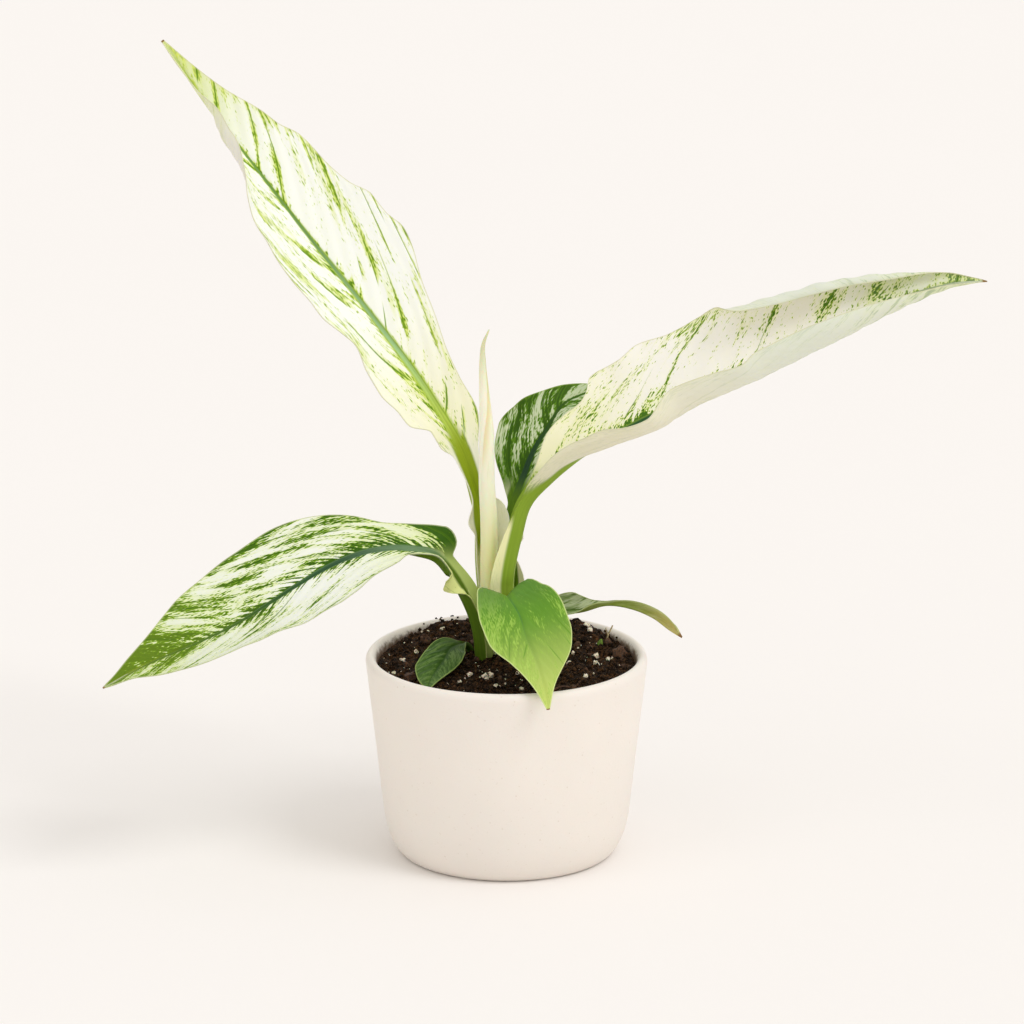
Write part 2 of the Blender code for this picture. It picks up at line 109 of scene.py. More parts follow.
class Leaf:
    """One open leaf: its own values, and these where it gives none. Three numbers are a colour."""
    curl = (1, 1)
    blur = haze = foot = lobe = uneven = tip_cover = wing_marks = closed = 0.0
    edge_cover = (0.0, 0.0)
    channel = WING_START
    wing_end = 200
    tip_marks = 1.0

    def __init__(self, **values):
        for name, value in values.items():
            colour = isinstance(value, tuple) and len(value) == 3
            setattr(self, name, shade(*value) if colour else value)
        self.rib_base = getattr(self, "rib_base", self.rib)
        self.under_tip = getattr(self, "under_tip", self.under)


# Each leaf is one surface carried along its midrib, from the foot of the petiole to the tip.
# path: points of the midrib, numbered from 0.
# facing: the way the upper face looks, as (point, x, y, z).
# left, right: the two halves, as (point, width, slope beside the midrib, slope at the margin) and,
#     where the cross rows lean along the leaf, their lean for each millimetre of width. A row
#     without slopes keeps those before it, and the first ones are PETIOLE_SLOPES.
# keel: thickness under the midrib, as (point, thickness).
# curl: how late in each half's width it turns from the first slope to the second.
# seed: which random marks. blade: the path point where the blade starts.
# pale, warm: colour of the unmarked blade, and beside the petiole. foot: how far warm hides marks.
# halo, green, deep: colours round a mark, of a mark, and of its middle.
# cover: share of the blade under marks. dots: how short the marks are, from 0 to 1.
# patches: how much the cover changes over the blade. blur: how soft the marks' edges are.
# haze: how strongly the blade is tinted round clusters of marks.
# band, feather: half width of the green along the midrib, and how far it frays into the veins.
# fringe, edge_cover: how many more marks there are beside the midrib, and at the left and right margin.
# uneven: how many more marks the right half has. lobe: where the right half's green foot ends, as
#     its distance past the blade's start, or 0.
# rib, rib_base, rib_width: colour of the midrib's groove, and its colour and half width at the foot.
# stalk, run: colour of the petiole, and how far it runs on under the blade.
# sheath, wing_marks, channel: colour of the petiole's wings, how dark their marks are, and how
#     far from the middle they start inside. wing_end: how far up the petiole they are pale.
# closed: how far up the petiole the wings close over its channel. margin: colour of the thin edge,
#     painted shade of the edge's thickness where it is darker than the blade.
# tip, tip_from, tip_share, tip_cover: colour at the tip, where along the leaf it starts, how much
#     of it there is, and how many more marks there are. tip_marks: how far the marks take it too.
# under, under_tip: colour below, and the same towards the tip. dry: length of the brown tip.
# veins: for the left and right half, start and bend of the lateral veins, as in vein_distance().
# spacing: distance between veins along the midrib. lines: strength of the dark veins.
LEAVES = {
    "leaf_tall_left": Leaf(
        path=[(-8, 24.5, 74), (-8, 24.5, 95), (-11, 23, 131), (-12, 23, 155), (-20, 27, 183),
         (-36, 34, 210), (-64, 47, 246), (-90, 58, 277), (-116, 69, 309), (-139, 76, 338),
         (-159, 80, 367)],
        facing=[(0, 0.1, -0.95, 0.3), (10, 0.1, -0.95, 0.3)],
        left=[(0, 4), (1, 4), (2, 5), (2.6, 6), (2.9, 8, 20, 50), (3.3, 4.5, 30, 80), (4, 5.5, 20, 40),
         (4.25, 10, 20, 35), (4.5, 10, 20, 32), (4.75, 17.5, 14, 30), (5, 19, 10, 35),
         (5.25, 22.5, 14, 43), (5.5, 23, 18, 50), (5.75, 21.5, 26, 57), (6, 28, 33, 63),
         (6.5, 31, 31, 64), (7, 30, 30, 65), (7.5, 27.5, 33, 70), (8, 20.5, 35, 100), (8.5, 17, 20, 160),
         (9, 8, 75, 125), (9.5, 3.6, 75, 90), (10, 0.35, 60, 60)],
        right=[(0, 4), (1, 4), (2, 8, 30, 70), (2.4, 10, 30, 60), (2.9, 14, 20, 40), (3.15, 12),
         (3.4, 5, 30, 60), (4, 8, 20, 40), (4.5, 15.5, 0, 20), (5, 16.5, 0, 10), (5.25, 18.5),
         (5.5, 22.5), (6, 30), (6.25, 34.5, 0, 9), (6.5, 37, 0, 8), (6.75, 35, 0, 9), (7, 35, 0, 10),
         (7.25, 30.5, 0, 8), (7.5, 28, 0, 5), (8, 25.5), (8.25, 21), (8.5, 18.5), (9, 11), (9.5, 5.2),
         (10, 0.35, 0, 0)],
        keel=[(0, 4.5), (3.5, 4.2), (5, 3), (8, 1.6), (10, 0.5)],
        seed=1, blade=4.2, slot="cream_leaf", pale=(251, 252, 243), warm=(247, 244, 212),
        halo=(212, 228, 84), green=(168, 196, 56), deep=(100, 142, 28), cover=-0.17, dots=0.95,
        patches=0.7, haze=0.75, band=3.4, feather=8, fringe=0.13, edge_cover=(-0.03, 0.07), uneven=-0.02,
        rib=(160, 194, 140), rib_base=(184, 206, 84), rib_width=1.9, stalk=(150, 170, 34), run=10,
        sheath=(250, 248, 230), closed=64, wing_marks=0.15, margin=(214, 212, 176), tip=(212, 224, 128),
        tip_from=0.8, tip_share=0.75, under=(232, 228, 218), dry=0.9, veins=((2.2, 0.05), (1.25, 0.05)),
        spacing=16, lines=1),
    "leaf_arching_right": Leaf(
        path=[(3, 9, 74), (3, 9, 95), (-1, 7, 128), (3, 7, 150), (8, 6, 167), (19, 4, 179), (34, 2, 191),
         (48, 0, 199), (69, -3, 211), (98, -7, 229), (120, -10, 241), (147, -14, 256), (174, -18, 268),
         (201, -22, 277), (217, -25, 279)],
        facing=[(0, -0.9, -0.1, 0.2), (4, -0.6, -0.2, 0.6), (6, -0.3, 0, 0.95), (14, -0.3, 0, 0.95)],
        left=[(0, 3), (3, 3.5), (4, 3, 40, 60), (5, 9, 50, 60), (5.5, 16.5, 51, 61), (6, 20.5, 52, 62),
         (6.5, 22.5, 53, 63), (6.75, 26), (7, 31.5, 54, 64), (7.25, 33, 54, 65), (7.6, 33, 55, 67),
         (8.1, 36, 56, 68), (8.6, 33, 55, 68), (9, 33, 54, 75), (9.3, 32.5, 53, 115), (9.6, 34, 52, 195),
         (10, 35, 52, 240), (11, 29, 52, 275), (12, 18.5, 52, 270), (13, 5.2, 40, 160),
         (14, 0.35, 30, 30)],
        right=[(0, 3), (1, 4, 30, 90), (2, 9, 30, 100), (3, 6.5, 30, 90), (4, 4, 20, 60),
         (4.5, 7, 15, 80), (5, 11, 0, 88), (5.5, 15, -8, 88), (6, 19, -22, 86), (6.5, 22, -32, 83),
         (7, 25, -38, 82), (7.5, 27, -44, 62), (8, 30, -48, 55), (8.5, 31, -56, 95), (9, 32, -60, 85),
         (9.6, 32, -62, 75), (10, 33, -65, 92), (11, 31, -68, 98), (12, 20, -60, 90), (13, 6.5, -50, 60),
         (14, 0.35, 0, 0)],
        keel=[(0, 4.5), (4, 4.5), (6, 3.2), (10, 1.8), (14, 0.5)],
        curl=(2.6, 1), seed=4, blade=4.6, slot="cream_leaf", pale=(254, 250, 240), warm=(248, 244, 206),
        halo=(214, 228, 96), green=(142, 175, 48), deep=(70, 114, 22), cover=-0.06, dots=0.9,
        patches=0.7, haze=0.35, band=3, feather=10, fringe=0.2, edge_cover=(0.05, 0.05),
        rib=(52, 96, 56), rib_base=(140, 168, 60), rib_width=2.6, stalk=(140, 168, 50), run=20,
        sheath=(252, 247, 192), wing_end=84, wing_marks=0.1, margin=(218, 216, 182), tip=(214, 222, 192),
        tip_from=0.75, tip_share=0.7, tip_marks=0.3, tip_cover=0.04, under=(236, 230, 206),
        under_tip=(224, 229, 212), dry=2.2, veins=((0.6, 0.02), (2.0, 0.04)), spacing=17, lines=0.9),
    "leaf_dark_back": Leaf(
        path=[(5, 27, 74), (5, 27, 95), (2, 31, 131), (3, 35, 155), (8, 39, 169), (13, 43, 181),
         (19, 47, 190), (26, 52, 200), (36, 57, 204), (46, 60, 206)],
        facing=[(0, -0.3, -0.8, 0.5), (9, -0.3, -0.8, 0.5)],
        left=[(0, 2.5), (2.5, 2.5), (3, 2.5, 20, 40), (3.5, 7, 10, 20), (4, 13.5, 5, 15),
         (5, 20.5, 0, 10), (5.3, 21.5, 0, 12), (6, 19.5, 0, 20), (6.5, 17, 0, 30), (7, 10.5, 0, 20),
         (7.5, 7.5), (8, 5.2), (9, 0.8, 0, 0)],
        right=[(0, 2.5), (1.4, 2.5), (1.75, 8, 20, 40), (1.95, 6, 20, 50), (2.15, 3, 30, 70),
         (2.45, 8, 15, 35), (2.7, 6.5), (2.9, 3, 20, 40), (3.2, 3), (3.5, 5, 20, 30), (4, 10, 20, 35),
         (5, 18, 20, 40), (6, 20), (7, 14), (8, 7), (9, 0.8, 0, 0)],
        keel=[(0, 3.5), (3, 3), (5, 2), (9, 0.9)],
        seed=9, blade=3.3, slot="green_leaf", pale=(208, 218, 186), warm=(84, 118, 24),
        halo=(124, 158, 56), green=(90, 134, 18), deep=(52, 88, 8), cover=0.33, dots=0.45, patches=1.1,
        blur=0.01, band=3.6, feather=4, fringe=0.14, edge_cover=(0.05, 0.05), rib=(44, 74, 48),
        rib_width=2.2, stalk=(96, 130, 24), run=4, sheath=(246, 242, 214), wing_marks=0.1,
        margin=(140, 166, 76), tip=(92, 128, 20), tip_from=0.7, tip_share=0.3, tip_cover=0.02,
        under=(112, 134, 66), dry=1, veins=((1.2, 0.04), (1.2, 0.04)), spacing=12, lines=0.9),
    "leaf_arching_left": Leaf(
        path=[(-10.5, 4, 74), (-10.5, 4, 90), (-13, 4, 109), (-18, 3, 122), (-25, 2, 134), (-32, 1, 142),
         (-41, -1, 145), (-53, -5, 147), (-66, -9, 146), (-81, -13, 141), (-95, -18, 134),
         (-109, -23, 126), (-124, -29, 118), (-140, -36, 112), (-163, -44, 104), (-184, -52, 95)],
        facing=[(0, 0.9, -0.5, 0.2), (3, 0.85, -0.25, 0.45), (4, 0.6, -0.2, 0.75), (5, 0.25, -0.1, 0.9),
         (6.5, -0.2, -0.05, 0.95), (15, -0.3, 0, 0.95)],
        left=[(0, 3.5), (2.9, 4, 20, 60), (3.25, 4.5, 10, 0), (3.38, 7, -20, -100),
         (3.55, 9.8, -30, -122), (3.82, 6.5, -20, -95), (4.05, 4.3, 10, 20), (5, 4, 10, 30),
         (5.7, 4, 0, 10), (6.4, 5, -20, -10), (7, 12, -25, -20), (8, 20, -30, -20), (9, 27, -34, -18),
         (10, 29, -36, -18), (11, 29, -34, -8), (12, 27, -28, 0), (13, 23, -24, -6), (14, 11, -26, -16),
         (15, 0.4, 0, 0)],
        right=[(0, 3.5), (3, 6.5, 20, 60), (4.2, 5, 30, 70, -0.2), (4.6, 5, 30, 70, -0.5),
         (5.2, 9.5, 60, 72, -0.9), (5.6, 12.5, 65, 75, -0.75), (6, 13, 62, 76, -0.8),
         (6.5, 12.5, 52, 65, -0.45), (7, 13, 50, 60), (8, 20, 50, 62), (9, 27.5), (10, 31), (11, 30.5),
         (12, 28.5), (13, 23.5), (14, 10, 50, 60), (15, 0.4, 0, 0)],
        keel=[(0, 4.2), (5, 3.6), (8, 2.4), (15, 0.5)],
        seed=13, blade=4.6, slot="mixed_leaf", pale=(243, 245, 234), warm=(226, 234, 186),
        halo=(200, 220, 84), green=(108, 150, 16), deep=(54, 94, 4), cover=0.12, dots=0.6, patches=0.8,
        haze=0.3, band=2.2, feather=16, fringe=0.2, edge_cover=(0.03, 0.09), uneven=0.06, lobe=-2,
        rib=(54, 90, 62), rib_base=(118, 146, 106), rib_width=2.5, stalk=(84, 112, 20), run=13,
        channel=0.6, sheath=(224, 230, 150), wing_marks=0.5, margin=(190, 198, 150), tip=(164, 190, 48),
        tip_from=0.55, tip_share=0.3, tip_cover=0.1, under=(226, 228, 212), dry=1,
        veins=((1.7, 0.045), (1.5, 0.045)), spacing=14, lines=0.6),
    "leaf_heart_front": Leaf(
        path=[(2, 1, 74), (2, 1, 92), (-1, -3, 116), (0, -8, 125), (2, -15, 125), (6, -28, 122),
         (9, -41, 116), (13, -54, 110), (17, -66, 100), (19, -75, 92)],
        facing=[(0, 0, 1, 0.1), (2, 0, 0.8, 0.6), (3, 0, 0.3, 0.9), (4, 0, -0.2, 0.98),
         (9, 0, -0.4, 0.9)],
        left=[(0, 2), (2.6, 2), (2.8, 4, 35, 50, -0.5), (3, 9.5, 42, 34, -0.85),
         (3.3, 12, 42, 12, -0.65), (4, 17, 12, 20, -0.15), (5, 20.5, 5, 15), (6, 21, 5, 10),
         (7, 17, 0, 5), (8, 5.2, 0, 0), (9, 0.7)],
        right=[(0, 2), (2.6, 2), (2.8, 5, 30, 35, -0.8), (3, 9.5, 32, 22, -0.9),
         (3.3, 12.5, 15, 10, -0.55), (4, 15.5, 5, 5, -0.15), (5, 18.5, 0, 0), (6, 17.5), (7, 12),
         (8, 4.8), (9, 0.7)],
        keel=[(0, 2.8), (2.6, 2.4), (4, 1.6), (9, 0.9)],
        seed=21, blade=2.6, slot="young_leaf", pale=(166, 202, 92), warm=(88, 128, 66),
        halo=(136, 180, 60), green=(118, 163, 48), deep=(100, 150, 44), cover=0.88, dots=1, patches=0.3,
        haze=0.3, blur=0.05, band=4, feather=8, fringe=0.16, edge_cover=(-0.05, -0.05), uneven=-0.1,
        rib=(100, 148, 58), rib_base=(84, 134, 56), rib_width=0.6, stalk=(112, 140, 36), run=2,
        sheath=(130, 156, 46), margin=(220, 230, 160), tip=(204, 218, 118), tip_from=0.55,
        tip_share=0.85, foot=0.55, under=(152, 182, 82), dry=0.5, veins=((1.9, 0.06), (1.9, 0.06)),
        spacing=10, lines=0.7),
    "leaf_twisted_right": Leaf(
        path=[(10, 6, 74), (10, 6, 90), (11, 5, 100), (16, 3, 110), (23, 0, 115), (34, -3, 117),
         (46, -6, 121), (58, -9, 120), (68, -11, 116), (76, -12, 110), (81, -13, 107)],
        facing=[(0, -1, 0.2, 0.2), (3, -0.7, 0, 0.7), (5, -0.1, 0, 0.95), (10, 0.3, 0, 0.95)],
        left=[(0, 2), (2.5, 2), (3, 3, 30, 50), (4, 7.5, 30, 70), (4.6, 8.5, 40, 90), (5, 7.5, 40, 110),
         (5.6, 2.6, 30, 60), (6, 1.2, 20, 30), (6.5, 1.8, 50, 70), (7, 2.6, 70, 90), (8, 3.2),
         (9, 2.6, 60, 90), (10, 0.8, 30, 30)],
        right=[(0, 2), (2.5, 2), (3, 3, 20, 40), (4, 7, 0, 20), (5, 6.5, 0, 24), (5.5, 3.4, 10, 36),
         (6, 1.7, 20, 50), (6.5, 2.6, 40, 80), (7, 3.7, 50, 90), (8, 4.6), (9, 3.7, 50, 80),
         (10, 0.8, 30, 30)],
        keel=[(0, 2.8), (3, 2.4), (5, 1.6), (10, 0.9)],
        seed=27, blade=2.6, slot="young_leaf", pale=(200, 210, 170), warm=(132, 150, 100),
        halo=(150, 164, 116), green=(136, 158, 96), deep=(102, 128, 62), cover=0.45, dots=0.3,
        patches=0.4, blur=0.02, band=1, feather=3, fringe=0.1, rib=(100, 126, 60), rib_width=0.9,
        stalk=(120, 142, 46), run=4, sheath=(136, 156, 62), margin=(176, 186, 128), tip=(206, 186, 108),
        tip_from=0.72, tip_share=0.75, under=(130, 146, 54), dry=2, veins=((2.6, 0.1), (2.6, 0.1)),
        spacing=8, lines=0.4),
    "leaf_small_soil": Leaf(
        path=[(-16.5, 15, 76), (-16.5, 15, 91), (-18, 12, 95), (-21, 5, 98), (-25, -1, 98.5),
         (-28, -11, 97), (-32, -22, 94.5), (-35, -33, 92.5), (-36, -42, 91)],
        facing=[(0, 0.3, 1, 0), (2, 0.2, 0.6, 0.7), (3, 0.1, -0.2, 0.95), (8, 0.1, -0.5, 0.85)],
        left=[(0, 1.2), (2.7, 1.2), (3, 2.5, 10, 20), (3.5, 5, 0, 10), (4, 7), (5, 8), (6, 6.5, 5, 10),
         (7, 4), (8, 0.8, 0, 0)],
        right=[(0, 1.2), (2.7, 1.2), (3, 2.5, 10, 20), (3.5, 5.5, 10, 10), (4, 7.5, 10, 5),
         (5, 10, 5, 0), (6, 10, 5, -10), (7, 6), (8, 0.8, 0, 0)],
        keel=[(0, 1.8), (2.7, 1.6), (4, 1.2), (8, 0.9)],
        seed=33, blade=2.4, slot="green_leaf", pale=(102, 130, 66), warm=(66, 96, 30),
        halo=(82, 112, 44), green=(68, 100, 32), deep=(48, 80, 20), cover=0.6, dots=0.3, patches=0.4,
        blur=0.05, band=1.6, feather=3, fringe=0.1, rib=(60, 90, 36), rib_width=0.5, stalk=(66, 96, 16),
        run=0, sheath=(66, 96, 16), margin=(150, 170, 90), tip=(80, 110, 36), tip_from=0.6,
        tip_share=0.3, under=(78, 100, 44), dry=0.6, veins=((1.3, 0.06), (1.3, 0.06)), spacing=7,
        lines=0.3),
}

# The rolled leaf: points of its middle line, each with the radius of the roll there.
SPEAR = [(-8.5, 13.5, 74, 3.4), (-8, 13.5, 129, 3.7), (-8, 13.5, 155, 3.7), (-9, 13.5, 175, 3.5),
         (-9, 13.5, 198, 3.2), (-10.2, 13.5, 217, 2.3), (-10.9, 13.5, 231, 1.5),
         (-10.6, 13.5, 239, 0.9), (-8, 13.5, 246, 0.3)]
SPEAR_SIDES = 56
SPEAR_RINGS = 200

# Where the roll's free edge runs: (distance up the roll, its turn from +x in degrees)
FOLD = [(0, -138), (108, -134), (122, -118), (136, -70), (153, -32), (172, -10)]
FOLD_SHARE = 0.94
FOLD_STEP = 0.2

# Perlite grains and bark bits in the mix's surface that stand out: (x, y, radius).
GRAINS = [(-17, -20, 1.5), (-13, -8, 1.2), (-10, -23, 1.7), (-7, -20.5, 1.8), (-9, -28, 1.4),
          (-5, -35, 1.3), (5, -18, 1.3), (7, -38, 1.4), (-21.5, -28, 1.2), (-42.5, 51, 1.0),
          (-42, 14, 1.5), (-48, 4.5, 1.4), (-12, 10, 1.3), (37.5, 41, 2.3), (39, 36, 1.6),
          (41, 8.5, 2.2), (41.5, -3, 1.9), (47, 5, 1.3), (29, -3, 1.6), (31, 13.5, 1.2),
          (36, -21.5, 1.3), (52, -4, 1.1), (-30, 40, 1.2), (20, 48, 1.4), (-52, -12, 1.2)]
BARK = [(52, 12, 2.4), (20, -30, 2.2), (-26, 20, 2.4), (33, 24, 2.0), (-38, 28, 2.2),
        (8, 40, 2.4), (-2, -48, 2.0), (47, 26, 1.8), (-44, -20, 2.0)]

# Crumbs that stick to the rim and the wall: (turn from +x in degrees, distance out, height, radius).
STRAYS = [(121, 64.3, 94.6, 0.5), (118.5, 64.4, 94.5, 0.55), (120.5, 61.5, 95.0, 0.5),
          (113.5, 64.3, 94.6, 0.6), (112, 61.2, 94.8, 0.45), (129.5, 61.0, 94.6, 0.45),
          (115.5, 59.8, 93.6, 0.7), (126, 59.7, 93.2, 0.6), (133, 59.6, 92.8, 0.7),
          (57, 60.4, 94.6, 1.6), (60, 60.2, 93.8, 1.3), (40, 60.2, 93.6, 0.6),
          (31, 59.9, 92.8, 0.5), (104, 60.0, 93.9, 0.6), (98, 60.1, 93.4, 0.8)]

# Twigs that lie in the mix or stand in it: three points, and the radius at the two ends.
PALE_TWIGS = [((46, 30, 88), (47.3, 30.5, 94), (49.5, 32, 98.5), (0.5, 0.35)),
              ((47.3, 30.5, 94), (46.5, 30, 96.5), (46.2, 30, 98), (0.35, 0.25)),
              ((14, 44, 89), (22, 46, 92.2), (27, 52, 90), (0.5, 0.35))]
DARK_TWIGS = [((-29, -12, 90), (-22, -1, 92.2), (-16, 12, 91.5), (0.5, 0.4)),
              ((-44, 34, 89), (-38, 36, 91.8), (-33, 41, 91), (0.4, 0.35)),
              ((18, -44, 88), (25, -38, 90.8), (33, -37, 89), (0.5, 0.4))]

# The tip of a new shoot, as (x, y, z, radius).
SHOOT = [(43, 26, 87, 1.2), (43.3, 26, 90, 1.6), (43.8, 26, 92.4, 1.2), (44.3, 26, 93.6, 0.3)]


# Settings

def hue(name, description, *rgb):
    return FloatVectorProperty(name=name, description=description, size=3, default=shade(*rgb),
                               subtype="COLOR", min=0, max=1)


def whole(name, description, default):
    return IntProperty(name=name, description=description, default=default, min=1)


def measure(name, description, metres):
    return FloatProperty(name=name, description=description, default=metres, unit="LENGTH")


def angle(name, description, degrees):
    return FloatProperty(name=name, description=description, default=math.radians(degrees),
                         subtype="ANGLE")


def amount(name, description, default):
    return FloatProperty(name=name, description=description, default=default, min=0)


class PotLook(bpy.types.PropertyGroup):
    """Sizes and colours of the stoneware pot."""
    sides: whole("Sides", "Steps round the pot", 256)
    glaze: hue("Glaze", "Colour of the matte glaze", 244, 236, 227)
    clay: hue("Clay", "Colour of the bare clay in pits and flecks", 206, 188, 166)
    pitting: measure("Pitting", "Depth of the glaze's fine dimples", 0.00012)
    wobble: measure("Wobble", "How far the thrown wall wanders from round", 0.00018)


class SoilLook(bpy.types.PropertyGroup):
    """Sizes and colours of the potting mix."""
    rings: whole("Rings", "Steps from the middle to the wall", 130)
    sides: whole("Sides", "Steps round the surface", 400)
    clod: measure("Clod", "Width of a large crumb", 0.0027)
    relief: measure("Relief", "Height of a large crumb", 0.0011)
    crumbs: whole("Crumbs", "Number of loose crumbs", 1900)
    bits: whole("Bits", "Number of small bark bits", 260)
    grains: whole("Grains", "Number of small perlite grains", 170)
    dark: hue("Dark", "Colour of the wet hollows", 22, 14, 8)
    light: hue("Light", "Colour of the dry fibres", 102, 68, 38)
    perlite: hue("Perlite", "Colour of the perlite grains", 255, 242, 216)
    straw: hue("Straw", "Colour of the fine pale fibres", 158, 122, 84)
    bark: hue("Bark", "Colour of the bark bits", 104, 66, 34)


class LeafLook(bpy.types.PropertyGroup):
    """Sizes and colours that all the leaves share."""
    row: measure("Row", "Step along the midrib", 0.0011)
    columns: whole("Columns", "Steps from the midrib to the margin", 28)
    margin: measure("Margin", "Thickness at the margin", 0.0004)
    quilting: measure("Quilting", "Depth of the lateral veins' furrows", 0.0003)
    groove: measure("Groove", "Depth of the midrib's groove", 0.0006)
    wave: measure("Wave", "Height of the margin's waves", 0.001)
    dried: hue("Dried", "Colour of a dried tip", 136, 102, 60)
    roll: hue("Roll", "Colour of the rolled leaf", 255, 253, 228)
    fold: hue("Fold", "Colour along the roll's free edge", 230, 214, 148)


class StageLook(bpy.types.PropertyGroup):
    """Floor, light and camera."""
    floor: hue("Floor", "Colour of the floor", 249, 245, 242)
    width: measure("Floor width", "Side of the floor", 14.0)
    sky: amount("Sky", "Strength of the even light", 0.8)
    key: amount("Key", "Strength of the main lamp", 0.85)
    fill: amount("Fill", "Strength of the weak lamp on the left", 0.11)
    key_height: angle("Key height", "Height of the main lamp over the floor", 50)
    key_turn: angle("Key turn", "Main lamp's turn to the right of the camera", 54)
    softness: angle("Softness", "Width of the main lamp in the sky", 28)
    lens: amount("Lens", "Focal length in millimetres", 246.1)
    camera_height: angle("Camera height", "Angle over the floor", 16.24)
    camera_away: measure("Camera distance", "Distance from the target", 3.2175)
    target: FloatVectorProperty(name="Target", description="What the camera looks at", size=3,
                                default=(0.0025, 0, 0.1629), subtype="TRANSLATION")


class LilyLook(bpy.types.PropertyGroup):
    """Everything a user would change."""
    pot: PointerProperty(type=PotLook)
    soil: PointerProperty(type=SoilLook)
    leaf: PointerProperty(type=LeafLook)
    stage: PointerProperty(type=StageLook)


def look():
    return bpy.context.scene.peace_lily


# Shader maths

class Value:
    """A shader socket in Python arithmetic: each operation on values adds one Math node."""

    def __init__(self, finish, socket):
        self.finish = finish
        self.socket = socket

    def math(self, operation, *others):
        return self.finish.math(operation, self, *others)

    def __add__(self, other):
        return self.math("ADD", other)

    __radd__ = __add__

    def __sub__(self, other):
        return self.math("SUBTRACT", other)

    def __rsub__(self, other):
        return self.finish.math("SUBTRACT", other, self)

    def __mul__(self, other):
        return self.math("MULTIPLY", other)

    __rmul__ = __mul__

    def __truediv__(self, other):
        return self.math("DIVIDE", other)

    def __abs__(self):
        return self.math("ABSOLUTE")

    def rise(self, low, high):
        """0 below low, 1 above high, and a smooth step between."""
        sockets = {"Value": self, "From Min": low, "From Max": high}
        return self.finish.node("MapRange", {"interpolation_type": "SMOOTHSTEP"}, sockets)

    def fall(self, low, high):
        """1 below low, 0 above high."""
        return 1 - self.rise(low, high)


class Finish:
    """A Principled material. Fixed numbers go straight onto its sockets."""

    def __init__(self, name, **fixed):
        self.material = bpy.data.materials.new(name)
        self.material.use_nodes = True
        self.tree = self.material.node_tree
        self.shader = self.tree.nodes["Principled BSDF"]
        for socket, value in fixed.items():
            self.feed(socket.replace("_", " ").title().replace("Ior", "IOR"), value)

    def put(self, socket, value):
        """Links a value to a socket, or sets the socket to a number or a colour."""
        if isinstance(value, Value):
            self.tree.links.new(value.socket, socket)
        elif socket.type == "RGBA":
            socket.default_value = (*value, 1.0)
        else:
            socket.default_value = value

    def node(self, kind, settings=None, sockets=None, out=0):
        """Any node: its settings, then the values or links of its sockets. Gives one output."""
        node = self.tree.nodes.new("ShaderNode" + kind)
        for name, value in (settings or {}).items():
            setattr(node, name, value)
        for name, value in (sockets or {}).items():
            self.put(node.inputs[name], value)
        return Value(self, node.outputs[out])

    def math(self, operation, *values):
        return self.node("Math", {"operation": operation}, dict(enumerate(values)))

    def tint(self, vector, factor):
        """A colour made brighter or darker by a number, or a place scaled by it."""
        return self.node("VectorMath", {"operation": "SCALE"}, {0: vector, "Scale": factor})

    def place(self):
        """Object coordinates in millimetres."""
        return self.tint(self.node("TexCoord", out="Object"), 1 / MM)

    def split(self, vector):
        """The three numbers of a vector."""
        first = self.node("SeparateXYZ", None, {0: vector})
        return [Value(self, output) for output in first.socket.node.outputs]

    def numbers(self, attribute):
        """The three numbers of a mesh attribute."""
        return self.split(self.node("Attribute", {"attribute_name": attribute}, out="Vector"))

    def join(self, x, y, z):
        return self.node("CombineXYZ", None, {0: x, 1: y, 2: z})

    def noise(self, vector, scale=1.0, detail=2.0, roughness=0.5, distortion=0.0):
        sockets = {"Vector": vector, "Scale": scale, "Detail": detail, "Roughness": roughness,
                   "Distortion": distortion}
        return self.node("TexNoise", None, sockets)

    def paint(self, colour, *coats):
        """A colour under coats of (share, colour), each mixed over those before it.

        The Mix node takes two colours at its sockets 6 and 7 and gives one at its output 2.
        """
        for share, coat in coats:
            sockets = {0: share, 6: colour, 7: coat}
            colour = self.node("Mix", {"data_type": "RGBA"}, sockets, out=2)
        return colour

    def feed(self, socket, value):
        self.put(self.shader.inputs[socket], value)

    def surface(self, colour, roughness, relief, depth, strength=1.0):
        """Feeds the shader and gives the material. A relief of 1 is depth millimetres high."""
        self.feed("Base Color", colour)
        self.feed("Roughness", roughness)
        sockets = {"Height": relief, "Distance": depth * MM, "Strength": strength}
        self.feed("Normal", self.node("Bump", None, sockets))
        return self.material


# Numbers and curves

def cell(x, y):
    """The unit cell of each place, as whole numbers."""
    return np.floor(x).astype(int), np.floor(y).astype(int)


def value_noise(x, y, seed):
    """Random heights from -1 to 1 at whole numbers, blended between by a smooth step."""
    table = np.random.default_rng(seed).uniform(-1, 1, (256, 256))
    column, row = cell(x, y)
    across = x - column
    along = y - row
    across = across * across * (3 - 2 * across)
    along = along * along * (3 - 2 * along)

    def blend(row):
        return (table[column % 256, row % 256] * (1 - across)
                + table[(column + 1) % 256, row % 256] * across)

    return blend(row) * (1 - along) + blend(row + 1) * along


def clods(x, y, seed):
    """Rounded lumps, 0 to 1: a half ball in each unit cell about a random middle; the highest shows."""
    random = np.random.default_rng(seed)
    middle = random.uniform(0.15, 0.85, (128, 128, 2))
    radius = random.uniform(0.45, 0.95, (128, 128))
    column, row = cell(x, y)
    height = np.zeros_like(x)
    for right in (-1, 0, 1):
        for up in (-1, 0, 1):
            a = (column + right) % 128
            b = (row + up) % 128
            off_x = x - (column + right + middle[a, b, 0])
            off_y = y - (row + up + middle[a, b, 1])
            ball = 1 - (off_x**2 + off_y**2) / radius[a, b] ** 2
            height = np.maximum(height, np.sqrt(np.maximum(ball, 0)) * radius[a, b])
    return height


